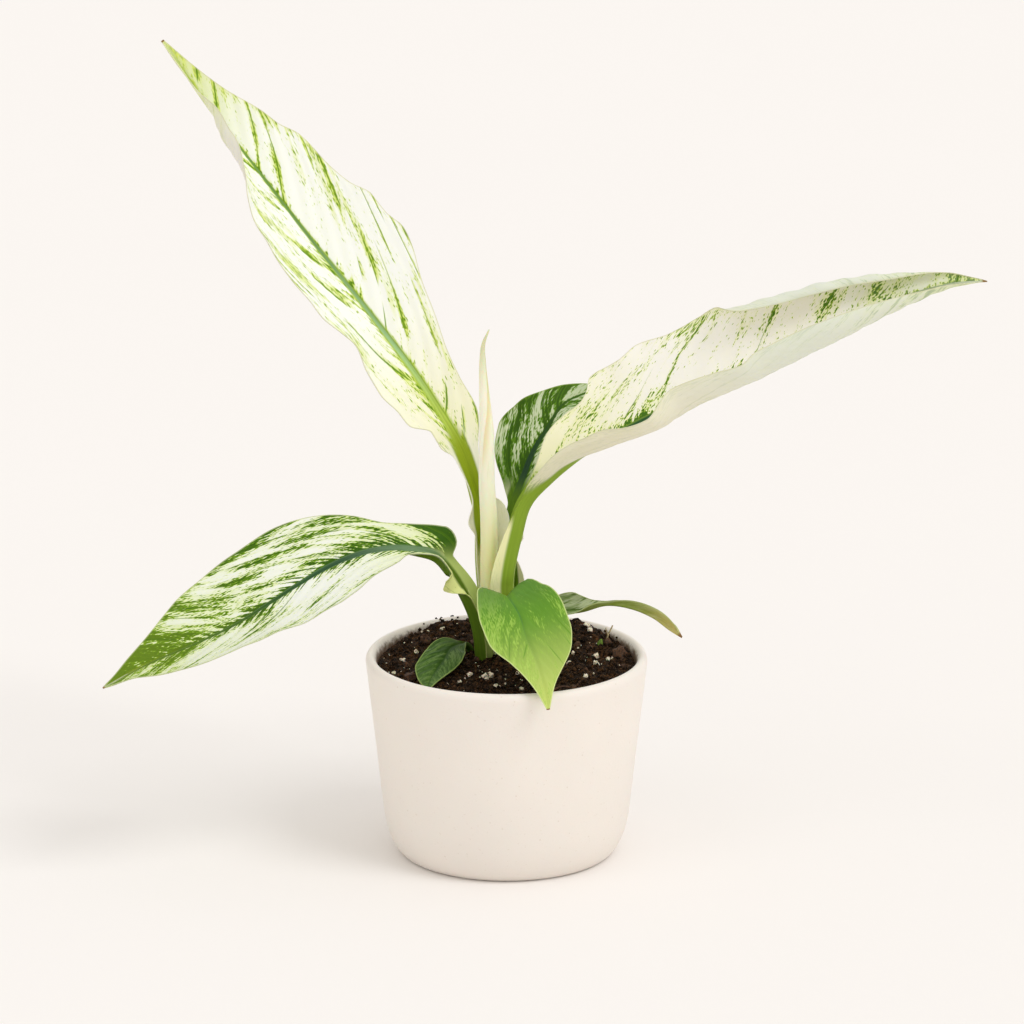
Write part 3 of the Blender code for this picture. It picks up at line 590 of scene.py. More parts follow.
def smooth(knots, values, at, steady=False):
    """A curve through the values: cubic pieces whose slope at a knot blends its neighbours' slopes.

    A steady curve never passes its values: it is level where they turn, and never steep
    beside a gentle stretch.
    """
    knots = np.asarray(knots, float)
    values = np.asarray(values, float)
    step = np.diff(knots)[:, None]
    chord = np.diff(values, axis=0) / step
    slope = np.empty_like(values)
    slope[1:-1] = (chord[:-1] * step[1:] + chord[1:] * step[:-1]) / (step[1:] + step[:-1])
    slope[0] = chord[0]
    slope[-1] = chord[-1]
    if steady:
        gentlest = STEADY_LIMIT * np.minimum(np.abs(chord[:-1]), np.abs(chord[1:]))
        turns = chord[:-1] * chord[1:] <= 0
        slope[1:-1] = np.where(turns, 0.0, np.clip(slope[1:-1], -gentlest, gentlest))
    piece = np.clip(np.searchsorted(knots, at, side="right") - 1, 0, len(knots) - 2)
    span = step[piece]
    f = (at - knots[piece])[:, None] / span
    start = (2 * f**3 - 3 * f**2 + 1) * values[piece] + (f**3 - 2 * f**2 + f) * span * slope[piece]
    end = (3 * f**2 - 2 * f**3) * values[piece + 1] + (f**3 - f**2) * span * slope[piece + 1]
    return start + end


def unit(vectors):
    return vectors / np.linalg.norm(vectors, axis=-1, keepdims=True)


def chord_lengths(points):
    steps = np.linalg.norm(np.diff(points, axis=0), axis=1)
    return np.concatenate([[0.0], np.cumsum(steps)])


def quarter(count):
    """Cosines and sines at even steps through a quarter turn."""
    turn = np.linspace(0, math.pi / 2, count + 1)
    return np.column_stack([np.cos(turn), np.sin(turn)])


def circle(sides):
    """Angles of a ring's points."""
    return np.linspace(0, WHOLE_TURN, sides, endpoint=False)


# Meshes

def new_piece(name, skin, material, slot, replaced=None, flat=False, **attributes):
    """A piece from points in millimetres and faces, with three numbers a point in each attribute."""
    points, faces = skin
    mesh = bpy.data.meshes.new(name)
    mesh.from_pydata((points * MM).tolist(), [], faces)
    if not flat:
        mesh.shade_smooth()
    mesh.materials.append(material)
    for attribute, values in attributes.items():
        layer = mesh.attributes.new(attribute, "FLOAT_VECTOR", "POINT")
        layer.data.foreach_set("vector", values.astype(np.float32).ravel())
    if mesh.validate():
        raise RuntimeError(name + " has bad faces")
    item = add_item(name, mesh)
    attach(item, "root")
    if replaced:
        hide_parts(replaced)


def add_item(name, data):
    item = bpy.data.objects.new(name, data)
    bpy.context.scene.collection.objects.link(item)
    return item


def closed(rings):
    """A skin over closed rings, with a middle point and a fan of triangles at each end.

    Quads join neighbouring rings and face out where the rings run anticlockwise upwards.
    """
    number, sides = rings.shape[:2]
    first = np.arange(sides)
    after = (first + 1) % sides
    start = np.arange(number - 1)[:, None] * sides
    here = start + first
    beside = start + after
    quads = np.stack([here, beside, beside + sides, here + sides], axis=-1).reshape(-1, 4)
    low = number * sides
    last = low - sides
    fans = np.vstack([np.column_stack([after, first, np.full(sides, low)]),
                      np.column_stack([first + last, after + last, np.full(sides, low + 1)])])
    points = np.vstack([rings.reshape(-1, 3), rings[0].mean(axis=0), rings[-1].mean(axis=0)])
    return points, quads.tolist() + fans.tolist()


def turned(outline, sides):
    """Rings from an outline of (radius, height) whose ends lie on the axis: one for each inner point."""
    inner = np.array(outline)[1:-1]
    turn = circle(sides)
    rings = np.empty((len(inner), sides, 3))
    rings[..., 0] = inner[:, :1] * np.cos(turn)
    rings[..., 1] = inner[:, :1] * np.sin(turn)
    rings[..., 2] = inner[:, 1:]
    return rings


def tube(path, radii, sides=8, rings=14):
    """A closed skin about a smooth line through the path's points, the radius going with them."""
    table = np.column_stack([np.array(path, float), radii])
    knots = chord_lengths(table[:, :3])
    line = smooth(knots, table, np.linspace(0, knots[-1], rings))
    along = unit(np.gradient(line[:, :3], axis=0))
    side = unit(np.cross(along, (0.3, -0.9, 0.2)))
    up = np.cross(along, side)
    turn = circle(sides)[:, None]
    around = np.cos(turn) * side[:, None] + np.sin(turn) * up[:, None]
    return closed(line[:, None, :3] + line[:, None, 3:] * around)


def together(skins):
    """Several skins of points and faces as one."""
    points = []
    faces = []
    start = 0
    for part_points, part_faces in skins:
        points.append(part_points)
        faces += [[index + start for index in face] for face in part_faces]
        start += len(part_points)
    return np.vstack(points), faces


# Pot

def wall(z):
    """Outer radius of the pot's straight wall at a height."""
    return RIM_RADIUS + WALL_SLOPE * (z - LIP_START)


def hollow(z):
    """Radius of the hollow at a height."""
    return wall(z) - WALL_THICKNESS


def inner_corner(steps, gap=0.0):
    """The hollow's rounded corner from the wall to the floor, drawn in by a gap."""
    corner = []
    for c, s in quarter(steps):
        z = FLOOR_THICKNESS + INNER_CORNER * (1 - s)
        corner.append((hollow(z) - INNER_CORNER * (1 - c) - gap, z + gap))
    return corner


def pot_outline():
    """From the middle of the foot, out, up the outside, over the lip and down to the floor inside."""
    foot_inset = wall(0) - FOOT_RADIUS
    lip_radius = RIM_RADIUS - LIP_TOP_INSET
    outer_lip = wall(POT_HEIGHT) - lip_radius
    inner_lip = lip_radius - hollow(POT_HEIGHT)
    foot = [(wall(FOOT_HEIGHT * (1 - s)) - foot_inset * (1 - c), FOOT_HEIGHT * (1 - s))
            for c, s in quarter(14)]
    side = [(wall(z), z) for z in np.linspace(FOOT_HEIGHT, LIP_START, 22)[1:-1]]
    lip = [(LIP_START + LIP_HEIGHT * s, 1 - c) for c, s in quarter(10)]
    lip_out = [(wall(z) - outer_lip * inward, z) for z, inward in lip]
    lip_in = [(hollow(z) + inner_lip * inward, z) for z, inward in lip]
    corner_top = FLOOR_THICKNESS + INNER_CORNER
    inside = [(hollow(z), z) for z in np.linspace(LIP_START, corner_top, 14)[1:-1]]
    return ([(0.0, 0.0)] + foot[::-1] + side + lip_out + lip_in[-2::-1] + inside
            + inner_corner(6) + [(0.0, FLOOR_THICKNESS)])


def glaze_finish():
    """Matte cream glaze: fine dimples, faint clouds, a few flecks, painted shade darkening it towards
    the foot, and a ragged soil-brown band inside the lip.
    """
    pot = look().pot
    finish = Finish("stoneware_glaze", subsurface_weight=0.05, subsurface_scale=0.001)
    place = finish.place()
    x, y, height = finish.split(place)
    clouds = finish.noise(place, scale=0.028, detail=3)
    dimples = finish.noise(place, scale=0.75, detail=3, roughness=0.55)
    grit = finish.noise(place, scale=2.6, detail=2)
    flecks = finish.node("TexVoronoi", None, {"Vector": place, "Scale": 0.17}).fall(0.05, 0.09)
    pits = dimples.rise(0.64, 0.76)
    colour = finish.paint(pot.glaze, (pits * 0.28 + flecks * 0.3, pot.clay))
    # Painted shade: the glaze is darkened towards the foot, besides its faint random clouds.
    colour = finish.tint(colour, 0.885 + clouds * 0.07 + height.rise(-20, 75) * 0.08)
    # A ragged soil-brown band on the inner wall, from under the mix's top to a little above it.
    radius = hollow(SOIL_TOP)
    inside = (x * x + y * y).fall((radius + 0.2) ** 2, (radius + 1.6) ** 2)
    inside = inside * height.rise(SOIL_TOP - BROWN_BAND_DEPTH, SOIL_TOP - BROWN_BAND_DEPTH + 6)
    band_noise = finish.noise(place, scale=0.3, detail=4, roughness=0.7)
    brown_band = (band_noise * 9 + SOIL_TOP - height).rise(0.8, 5.2) * inside
    colour = finish.paint(colour, (brown_band * 0.9, look().soil.light))
    return finish.surface(colour, 0.46 + clouds * 0.12 + pits * 0.15,
                          dimples * 0.7 + grit * 0.3, pot.pitting / MM, strength=0.8)


def make_pot():
    """A ring for each point of the outline, its radius wandering slightly with angle and height."""
    pot = look().pot
    rings = turned(pot_outline(), pot.sides)
    radius = np.hypot(rings[..., 0], rings[..., 1])
    cosine = rings[..., 0] / radius
    sine = rings[..., 1] / radius
    height = rings[..., 2]
    wander = value_noise(cosine * 1.3 + 9, sine * 1.3 + height / 45 + 9, 2)
    wander = wander + 0.5 * value_noise(cosine * 4 + 20, sine * 4 + height / 14 + 20, 3)
    upper = np.clip(height / FOOT_HEIGHT, 0, 1)
    rings[..., :2] *= (1 + wander * upper * pot.wobble / MM / radius)[..., None]
    new_piece("stoneware_pot", closed(rings), glaze_finish(), "stoneware", replaced="pot")


# Potting mix

def soil_height(x, y):
    """Height of the mix: a low mound with heaps, long swells, and crumbs of two sizes on it."""
    soil = look().soil
    radius = hollow(SOIL_EDGE)
    edge = SOIL_EDGE + BACK_RISE * np.clip(0.5 + y / radius, 0, 1)
    mound = SOIL_TOP - (SOIL_TOP - edge) * (x**2 + y**2) / radius**2
    for heap_x, heap_y, height, width in HEAPS:
        mound = mound + height * np.exp(-((x - heap_x) ** 2 + (y - heap_y) ** 2) / width**2)
    clod = soil.clod / MM
    relief = soil.relief / MM
    swell = value_noise(x / 11 + 40, y / 11 + 40, 4)
    large = clods(x / clod + 60, y / clod + 60, 5)
    small = clods(x / clod * 2.3 + 60, y / clod * 2.3 + 60, 6)
    grit = value_noise(x * 1.4 + 99, y * 1.4 + 99, 7)
    rough = value_noise(x * 0.7 + 50, y * 0.7 + 50, 8)
    return (mound + 0.8 * swell + relief * (large - 0.6) + 0.45 * relief * (small - 0.6)
            + 0.35 * rough + 0.2 * grit)


def soil_finish():
    """Dark, crumbly mix: wet hollows, drier fibres, and a coarse grain."""
    soil = look().soil
    finish = Finish("crumbly_mix", specular_ior_level=0.1)
    place = finish.place()
    lumps = finish.noise(place, scale=0.33, detail=4, roughness=0.65)
    fibres = finish.noise(place, scale=1.5, detail=3, roughness=0.6, distortion=1.6)
    specks = finish.noise(place, scale=2.8, detail=1)
    dry = (lumps * 0.5 + fibres * 0.5).rise(0.48, 0.65)
    colour = finish.paint(soil.dark, (dry, soil.light), (specks.rise(0.66, 0.72) * 0.8, soil.straw))
    return finish.surface(colour, 0.72 + dry * 0.24, fibres * 0.6 + lumps * 0.4, 0.5)


def make_soil():
    """A solid turned in the pot's hollow, with the rings of its top raised to soil_height()."""
    soil = look().soil
    corner = inner_corner(5, SOIL_GAP)[::-1]
    edge = hollow(SOIL_EDGE) - SOIL_GAP
    surface = [(radius, SOIL_TOP) for radius in np.linspace(edge, 0, soil.rings)]
    rings = turned([(0.0, FLOOR_THICKNESS + SOIL_GAP)] + corner + surface, soil.sides)
    top = rings[len(corner):]
    top[..., 2] = soil_height(top[..., 0], top[..., 1])
    new_piece("potting_mix", closed(rings), soil_finish(), "potting_mix", replaced="soil")


# Crumbs, perlite, bark and twigs

def random_turns(count, random):
    """Turn matrices in all directions alike, from random unit quaternions."""
    w, x, y, z = unit(random.normal(size=(count, 4))).T
    rows = [[1 - 2 * (y * y + z * z), 2 * (x * y - z * w), 2 * (x * z + y * w)],
            [2 * (x * y + z * w), 1 - 2 * (x * x + z * z), 2 * (y * z - x * w)],
            [2 * (x * z - y * w), 2 * (y * z + x * w), 1 - 2 * (x * x + y * y)]]
    return np.array(rows).transpose(2, 0, 1)


def pebbles(centres, radii, stretch, random, sides=7, rings=4):
    """A dented ball at each centre, stretched by up to the given amounts and turned at random."""
    rise = np.linspace(-math.pi / 2, math.pi / 2, rings + 2)[1:-1, None]
    turn = circle(sides)
    ball, faces = closed(np.stack([np.cos(rise) * np.cos(turn), np.cos(rise) * np.sin(turn),
                                   np.sin(rise) + 0 * turn], axis=-1))
    number = len(centres)
    dents = random.uniform(0.62, 1.25, (number, len(ball), 1))
    sizes = radii[:, None] * random.uniform(1, stretch, (number, 3))
    lumps = ball * dents * sizes[:, None]
    lumps = np.einsum("nij,nkj->nki", random_turns(number, random), lumps) + centres[:, None]
    starts = (np.arange(number) * len(ball))[:, None, None]
    all_faces = []
    for corners in (4, 3):
        alike = np.array([face for face in faces if len(face) == corners])
        all_faces += (alike + starts).reshape(-1, corners).tolist()
    return lumps.reshape(-1, 3), all_faces


def on_soil(places, sunk):
    """(x, y, radius) as centres that rest in the surface, sunk by a share of the radius."""
    x, y, radius = places.T
    return np.column_stack([x, y, soil_height(x, y) + radius * (1 - 2 * sunk)]), radius


def scattered(number, low, high, random):
    """Even random places over the mix with radii from low to high, small ones more often."""
    reach = (hollow(SOIL_EDGE) - STREWN_INSET) * np.sqrt(random.uniform(0, 1, number))
    turn = random.uniform(0, WHOLE_TURN, number)
    radius = low + (high - low) * random.uniform(0, 1, number) ** 2.2
    return np.column_stack([reach * np.cos(turn), reach * np.sin(turn), radius])


def perlite_finish():
    """Chalky puffed grains, stained by the mix in their pores."""
    soil = look().soil
    finish = Finish("perlite", subsurface_weight=0.2, subsurface_scale=0.0008)
    pores = finish.noise(finish.place(), scale=1.4, detail=3)
    colour = finish.paint(soil.perlite, (pores.rise(0.5, 0.68) * 0.75, soil.light))
    return finish.surface(colour, 0.7 + pores * 0.2, pores, 0.4)


def bark_finish(name, colour, dark):
    """Weathered wood with a fine grain."""
    finish = Finish(name)
    grain = finish.noise(finish.place(), scale=1.2, detail=4, roughness=0.7)
    colour = finish.paint(dark, (grain.rise(0.35, 0.65), colour))
    return finish.surface(colour, 0.6 + grain * 0.3, grain, 0.4)


def make_grains():
    """Loose crumbs, perlite and bark strewn over the mix, and the twigs and shoot that stand in it."""
    soil = look().soil
    random = np.random.default_rng(12)

    def strew(name, centres, radii, stretch, material):
        new_piece(name, pebbles(centres, radii, stretch, random), material, "potting_mix",
                  flat=True)

    centres, radii = on_soil(scattered(soil.crumbs, 0.35, 1.25, random), 0.4)
    turn, out, height, size = np.array(STRAYS).T
    turn = np.radians(turn)
    strays = np.column_stack([out * np.cos(turn), out * np.sin(turn), height])
    strew("loose_crumbs", np.vstack([centres, strays]), np.concatenate([radii, size]), 1.5,
          bpy.data.materials["crumbly_mix"])
    centres, radii = on_soil(np.vstack([GRAINS, scattered(soil.grains, 0.25, 0.7, random)]), 0.35)
    strew("perlite_grains", centres, radii * 0.78, 1.35, perlite_finish())
    centres, radii = on_soil(np.vstack([BARK, scattered(soil.bits, 0.25, 1.1, random)]), 0.3)
    strew("bark_bits", centres, radii * 0.6, 3.5, bark_finish("bark", soil.bark, soil.dark))

    for kind, twigs, colour, dark in (
            ("pale", PALE_TWIGS, (206, 190, 146), (140, 112, 76)),
            ("dark", DARK_TWIGS, (112, 74, 44), (62, 40, 26))):
        skin = together([tube(path, np.linspace(*radii, 3)) for *path, radii in twigs])
        finish = bark_finish(kind + "_twig", shade(*colour), shade(*dark))
        new_piece(kind + "_twigs", skin, finish, "potting_mix")
    shoot = np.array(SHOOT)
    finish = bark_finish("young_shoot", shade(128, 160, 52), shade(76, 104, 30))
    new_piece("green_shoot", tube(shoot[:, :3], shoot[:, 3]), finish, "green_leaf")


# Leaves

def half_surface(rows, curl, knots, arc):
    """One half in the frame of each cross row: offsets across, up and along, width so far, and rest."""
    table = []
    slopes = PETIOLE_SLOPES
    for point, width, *given in rows:
        slopes = given[:2] or slopes
        table.append([point, width, *slopes, *(given[2:] or [0.0])])
    table = np.array(table)
    widths, start, end, lean = smooth(np.interp(table[:, 0], np.arange(len(knots)), knots),
                                      table[:, 1:], arc, steady=True).T[:, :, None]
    share = 0.5 - 0.5 * np.cos(np.linspace(0, math.pi, look().leaf.columns + 1))
    slope = np.radians(start + (end - start) * share**curl)
    middle = 0.5 * (slope[:, 1:] + slope[:, :-1])
    step = widths * np.diff(share)
    first = np.zeros((len(arc), 1))
    across = np.hstack([first, np.cumsum(np.cos(middle) * step, axis=1)])
    up = np.hstack([first, np.cumsum(np.sin(middle) * step, axis=1)])
    reach = widths * share
    return across, up, lean * reach, reach, widths - reach


def vein_distance(arc, reach, start, bend):
    """Where the lateral vein through a point leaves the midrib: veins run forward and curve on."""
    return arc - start * reach - bend * reach**2


def leaf_rings(leaf):
    """Closed cross rings from foot to tip: the upper face from left to right, the lower face back.

    Each cross row is two arcs that leave the midrib on either side, in the plane of the
    side direction (along the leaf x facing) and the facing direction. Furrows over the
    lateral veins, a groove over the midrib and waves at the margins are then laid on it
    along its normals, and the lower face lies one thickness below.
    """
    leaves = look().leaf
    path = np.array(leaf.path, float)
    knots = chord_lengths(path)
    length = knots[-1]
    arc = np.linspace(0, length, int(length / (leaves.row / MM)))

    def distance(points):
        return np.interp(points, np.arange(len(path)), knots)

    midrib = smooth(knots, path, arc)
    along = unit(smooth(knots, path, np.minimum(arc + 0.5, length))
                 - smooth(knots, path, np.maximum(arc - 0.5, 0)))
    facing = np.array(leaf.facing, float)
    gaze = smooth(distance(facing[:, 0]), facing[:, 1:], arc)
    up_way = unit(gaze - np.sum(gaze * along, axis=1, keepdims=True) * along)
    side_way = np.cross(along, up_way)
    halves = []
    for rows, sign, curl, veins in zip((leaf.left, leaf.right), (-1, 1), leaf.curl, leaf.veins):
        across, up, forward, reach, rest = half_surface(rows, curl, knots, arc)
        grid = (midrib[:, None] + sign * across[..., None] * side_way[:, None]
                + up[..., None] * up_way[:, None] + forward[..., None] * along[:, None])
        vein = vein_distance(arc[:, None] + forward, reach, *veins)
        slant = math.hypot(1, veins[0] + 2 * veins[1] * VEIN_MIDDLE)
        halves.append(np.dstack([grid, vein, sign * reach, rest, slant + 0 * rest]))
    both = np.hstack([halves[0][:, ::-1], halves[1][:, 1:]])
    grid = both[..., :3]
    vein, side, rest, slant = np.moveaxis(both[..., 3:], -1, 0)
    reach = np.abs(side)
    normal = unit(np.cross(np.gradient(grid, axis=1), np.gradient(grid, axis=0)))

    blade_start = distance(leaf.blade)
    arc = arc[:, None]
    blade = np.clip((arc - blade_start) / 20, 0, 1)
    furrow = np.cos(WHOLE_TURN * vein / leaf.spacing)
    furrow = furrow * np.clip(reach / 5, 0, 1) * np.clip(rest / 4, 0, 1)
    share = reach / np.maximum(reach + rest, 0.1)
    wave = value_noise(arc / 11 + 30, np.sign(side) * 3 + 30.5, leaf.seed) * share**3
    lift = (wave * leaves.wave - furrow * leaves.quilting) / MM * blade
    upper = grid + (lift - leaves.groove / MM * blade * np.exp(-reach**2))[..., None] * normal
    keel_points, keel = np.array(leaf.keel, float).T
    rib = np.interp(arc, distance(keel_points), keel)
    margin = leaves.margin / MM
    thickness = margin + (rib - margin) * np.exp(-(reach / (KEEL_SPREAD * rib)) ** 2)
    lower = grid + (lift - thickness)[..., None] * normal
    marks = np.dstack([vein, side, arc + 0 * side])
    places = np.dstack([rest, np.ones_like(rest), slant])

    def around(over, under):
        return np.hstack([over, under[:, ::-1]])

    return (around(upper, lower), around(marks, marks), around(places, places * (1, 0, 1)),
            length, blade_start)


def leaf_finish(name, leaf, length, blade_start):
    """A variegated leaf, marked in its own coordinates.

    vein: where a point's lateral vein leaves the midrib; side: distance from the midrib, left
    negative; arc: distance from the foot. The marks are where a score passes one half: noise of
    short dots and long streaks along the veins, gathered in clusters, and more beside the midrib
    and the margin.
    """
    finish = Finish(name + "_skin", subsurface_weight=0.15, subsurface_scale=0.0012,
                    subsurface_radius=(1.0, 0.9, 0.4), specular_ior_level=0.15)
    paint = finish.paint
    vein, side, arc = finish.numbers("marks")
    rest, upper, slant = finish.numbers("place")
    below = 1 - upper
    away = abs(side)
    right = side.rise(-1, 1)

    def noise(x, y, layer, detail=1):
        return finish.noise(finish.join(x, y, leaf.seed * 7.3 + layer), detail=detail)

    line = vein + (noise(vein * 0.07, side * 0.06, 15) - 0.5) * 9
    across = line / slant
    along = side * slant
    dots = noise(across * 1.5, along * 0.55, 3)
    streaks = noise(across * 1.4, along * 0.08, 0, detail=2)
    clusters = noise(across * 0.45, along * 0.045, 6)
    patches = noise(across * 0.09, along * 0.035, 9)
    flames = noise(line * 0.4, side * 0.01, 12)
    taper = finish.math("MAXIMUM", 1 - (arc - blade_start) * (1.1 / (length - blade_start)), 0.18)
    towards_tip = arc.rise(length * leaf.tip_from, length)
    tip_share = towards_tip * leaf.tip_share

    # Green that frays from the midrib, and dark lines over some of the veins
    width = taper * (flames.rise(0.4, 0.7) * leaf.feather + leaf.band)
    feather = away.fall(width * 0.2, width) * leaf.fringe
    stretch = noise(line * (1.3 / leaf.spacing), along * 0.025, 18)
    gap = 1 - finish.math("COSINE", line * (WHOLE_TURN / leaf.spacing))
    edge = slant * slant * (2 * (math.pi * VEIN_LINE / leaf.spacing) ** 2)
    edge = edge * (0.25 + stretch.rise(0.58, 0.7) * 0.75)
    drawn = stretch.rise(0.54, 0.6) * leaf.lines

    # The score of every point, and the colours on either side of one half
    edge_left, edge_right = leaf.edge_cover
    ground = (clusters * 0.3 + (patches - 0.5) * (0.5 * leaf.patches) + feather
              + rest.fall(0, 6) * (edge_left + right * (edge_right - edge_left))
              + towards_tip * (1.6 - away.rise(3, 14) * 1.2) * leaf.tip_cover
              + gap.fall(edge, edge * 60) * drawn * 0.11 + (leaf.cover - 0.5) * 0.22
              + (right - 0.5) * leaf.uneven)
    if leaf.lobe:
        lobe_end = blade_start + leaf.lobe
        lobe = (arc - side * 1.9).fall(lobe_end - 1.5, lobe_end + 1.5)
        ground = ground + lobe * side.rise(0.5, 1.5) * upper * 0.17
    score = (dots * leaf.dots + streaks * (1 - leaf.dots)) * 0.7 + ground
    blur = leaf.blur
    near_stalk = arc.fall(blade_start, blade_start + 0.35 * (length - blade_start))
    green = paint(leaf.green, (score.rise(0.53 - blur, 0.58 + blur), leaf.deep),
                  (tip_share * leaf.tip_marks, leaf.tip))

    # The midrib's groove
    rib_edge = taper * leaf.rib_width
    rib = paint(leaf.rib,
                (arc.fall(blade_start + 8, blade_start + 60), leaf.rib_base),
                (taper.fall(0.3, 0.8) * 0.7, leaf.deep),
                ((away / rib_edge).rise(0.4, 0.75) * 0.6, leaf.rib_base),
                # Darker along the groove's right side: painted shade.
                ((side / rib_edge).rise(0.55, 0.75) * 0.55, leaf.deep),
                (tip_share, leaf.tip))
    # Lighter and darker threads along the groove: its fine ribbing, with painted highlights.
    rib = finish.tint(rib, 0.65 + noise(side / rib_edge * 2.6, arc * 0.02, 21) * 0.7)
    blade_colour = paint(leaf.pale,
                         (near_stalk, leaf.warm),
                         (tip_share, leaf.tip),
                         (ground.rise(0.02, 0.16) * leaf.haze, leaf.halo),
                         (score.rise(0.45 - blur, 0.505) * 0.6, leaf.halo),
                         (score.rise(0.495 - blur, 0.515 + blur), green),
                         (gap.fall(edge * 0.8, edge * 6) * drawn * 0.5, leaf.green),
                         (gap.fall(edge * 0.4, edge * 1.4) * drawn, leaf.deep),
                         (near_stalk * leaf.foot, leaf.warm),
                         (away.fall(taper * (leaf.band * 0.5), taper * leaf.band) * 0.8, green),
                         (away.fall(rib_edge * 0.8, rib_edge), rib))

    # The petiole and its wings
    threads = noise(side * 1.9, arc * 0.03, 24, detail=2)
    stalk = finish.tint(leaf.stalk, 0.75 + threads * 0.5)
    wing = paint(leaf.sheath, ((score - feather).rise(0.5, 0.53) * leaf.wing_marks, leaf.green),
                 (arc.rise(leaf.wing_end - 4, leaf.wing_end + 4), stalk))
    wing_from = WING_START + upper * (leaf.channel - WING_START)
    shut = arc.fall(leaf.closed - 5, leaf.closed + 5) * upper

    # The whole leaf: petiole, blade, lower face, the stalk run on below, margin and dry tip
    blade = (arc + away * 0.8).rise(blade_start - 4, blade_start + 14)
    under = paint(leaf.under, (arc.rise(length * 0.45, length * 0.75), leaf.under_tip),
                  (tip_share, leaf.tip))
    run_end = blade_start + leaf.run
    brown = arc.rise(length - leaf.dry * 1.3, length - leaf.dry * 0.7)
    colour = paint(stalk,
                   (away.rise(wing_from, wing_from + 1.6), wing),
                   (shut, paint(leaf.sheath, (0.3, leaf.halo))),
                   (blade, blade_colour),
                   (below * blade * (0.9 - towards_tip * 0.45), under),
                   (below * away.fall(2.5, 4.5) * arc.fall(run_end, run_end + 12), stalk),
                   # A thin line along the margin: where its colour is darker than the blade, painted
                   # shade of the edge's thickness.
                   (rest.fall(0.25, 0.65) * blade * 0.7, leaf.margin),
                   (brown, look().leaf.dried))
    cells = finish.noise(finish.join(across * 3, along * 1.2, arc * 0.3), detail=2)
    return finish.surface(colour, 0.42 + cells * 0.14 + brown * 0.3,
                          cells * 0.5 + threads * 0.3, 0.12)


def make_leaf(name, leaf):
    rings, marks, places, length, blade_start = leaf_rings(leaf)
    new_piece(name + "_blade", closed(rings), leaf_finish(name, leaf, length, blade_start),
              leaf.slot, replaced=name, marks=closed(marks)[0], place=closed(places)[0])


def spear_finish(length):
    """A pale rolled leaf, with an ochre shadow along the roll's free edge and faint green threads."""
    leaf = look().leaf
    finish = Finish("rolled_leaf", subsurface_weight=0.4, subsurface_scale=0.003)
    around, arc, _ = finish.numbers("marks")
    threads = finish.noise(finish.join(around * 9, arc * 0.03, 2.0), detail=2)
    clouds = finish.noise(finish.join(around * 1.5, arc * 0.02, 5.0), detail=2)
    fold = around.fall(0.03, 0.2) * arc.rise(length - 70, length - 54)
    colour = finish.paint(leaf.roll,
                          (fold * (0.3 + clouds * 0.7), leaf.fold),
                          (threads.rise(0.6, 0.75) * 0.3, shade(206, 216, 140)),
                          (arc.rise(length - 34, length - 4) * 0.6, shade(178, 192, 130)),
                          (arc.fall(55, 115) * (0.35 + clouds * 0.6), shade(246, 246, 160)))
    return finish.surface(colour, 0.4 + threads * 0.15, threads, 0.12)


def make_spear():
    """Rings whose radius grows with the angle from the roll's free edge and drops back at it."""
    table = np.array(SPEAR, float)
    knots = chord_lengths(table[:, :3])
    arc = np.linspace(0, knots[-1], SPEAR_RINGS)
    line = smooth(knots, table, arc)[:, None]
    along = unit(np.gradient(line[..., :3], axis=0))
    side = unit(np.cross((0.0, 1.0, 0.0), along))
    up = np.cross(along, side)
    share = np.linspace(0, 1, SPEAR_SIDES, endpoint=False)
    fold = np.array(FOLD, float)
    turn = np.radians(smooth(fold[:, 0], fold[:, 1:], arc)) + WHOLE_TURN * share
    spiral = (0.92 + FOLD_STEP * np.clip(share / FOLD_SHARE, 0, 1)
              - FOLD_STEP * np.clip((share - FOLD_SHARE) / (1 - FOLD_SHARE), 0, 1))
    radius = line[..., 3] * spiral
    around = np.cos(turn)[..., None] * side + np.sin(turn)[..., None] * up
    rings = line[..., :3] + radius[..., None] * around
    marks = np.dstack([share + 0 * turn, arc[:, None] + 0 * turn, radius])
    new_piece("rolled_leaf", closed(rings), spear_finish(knots[-1]), "spear_leaf",
              replaced="leaf_spear", marks=closed(marks)[0])


# Stage

def floor_finish():
    """Plain pale floor, a touch uneven in tone."""
    finish = Finish("pale_floor", roughness=0.9, specular_ior_level=0.1)
    clouds = finish.noise(finish.place(), scale=0.004, detail=2)
    finish.feed("Base Color", finish.tint(look().stage.floor, 0.995 + clouds * 0.01))
    return finish.material


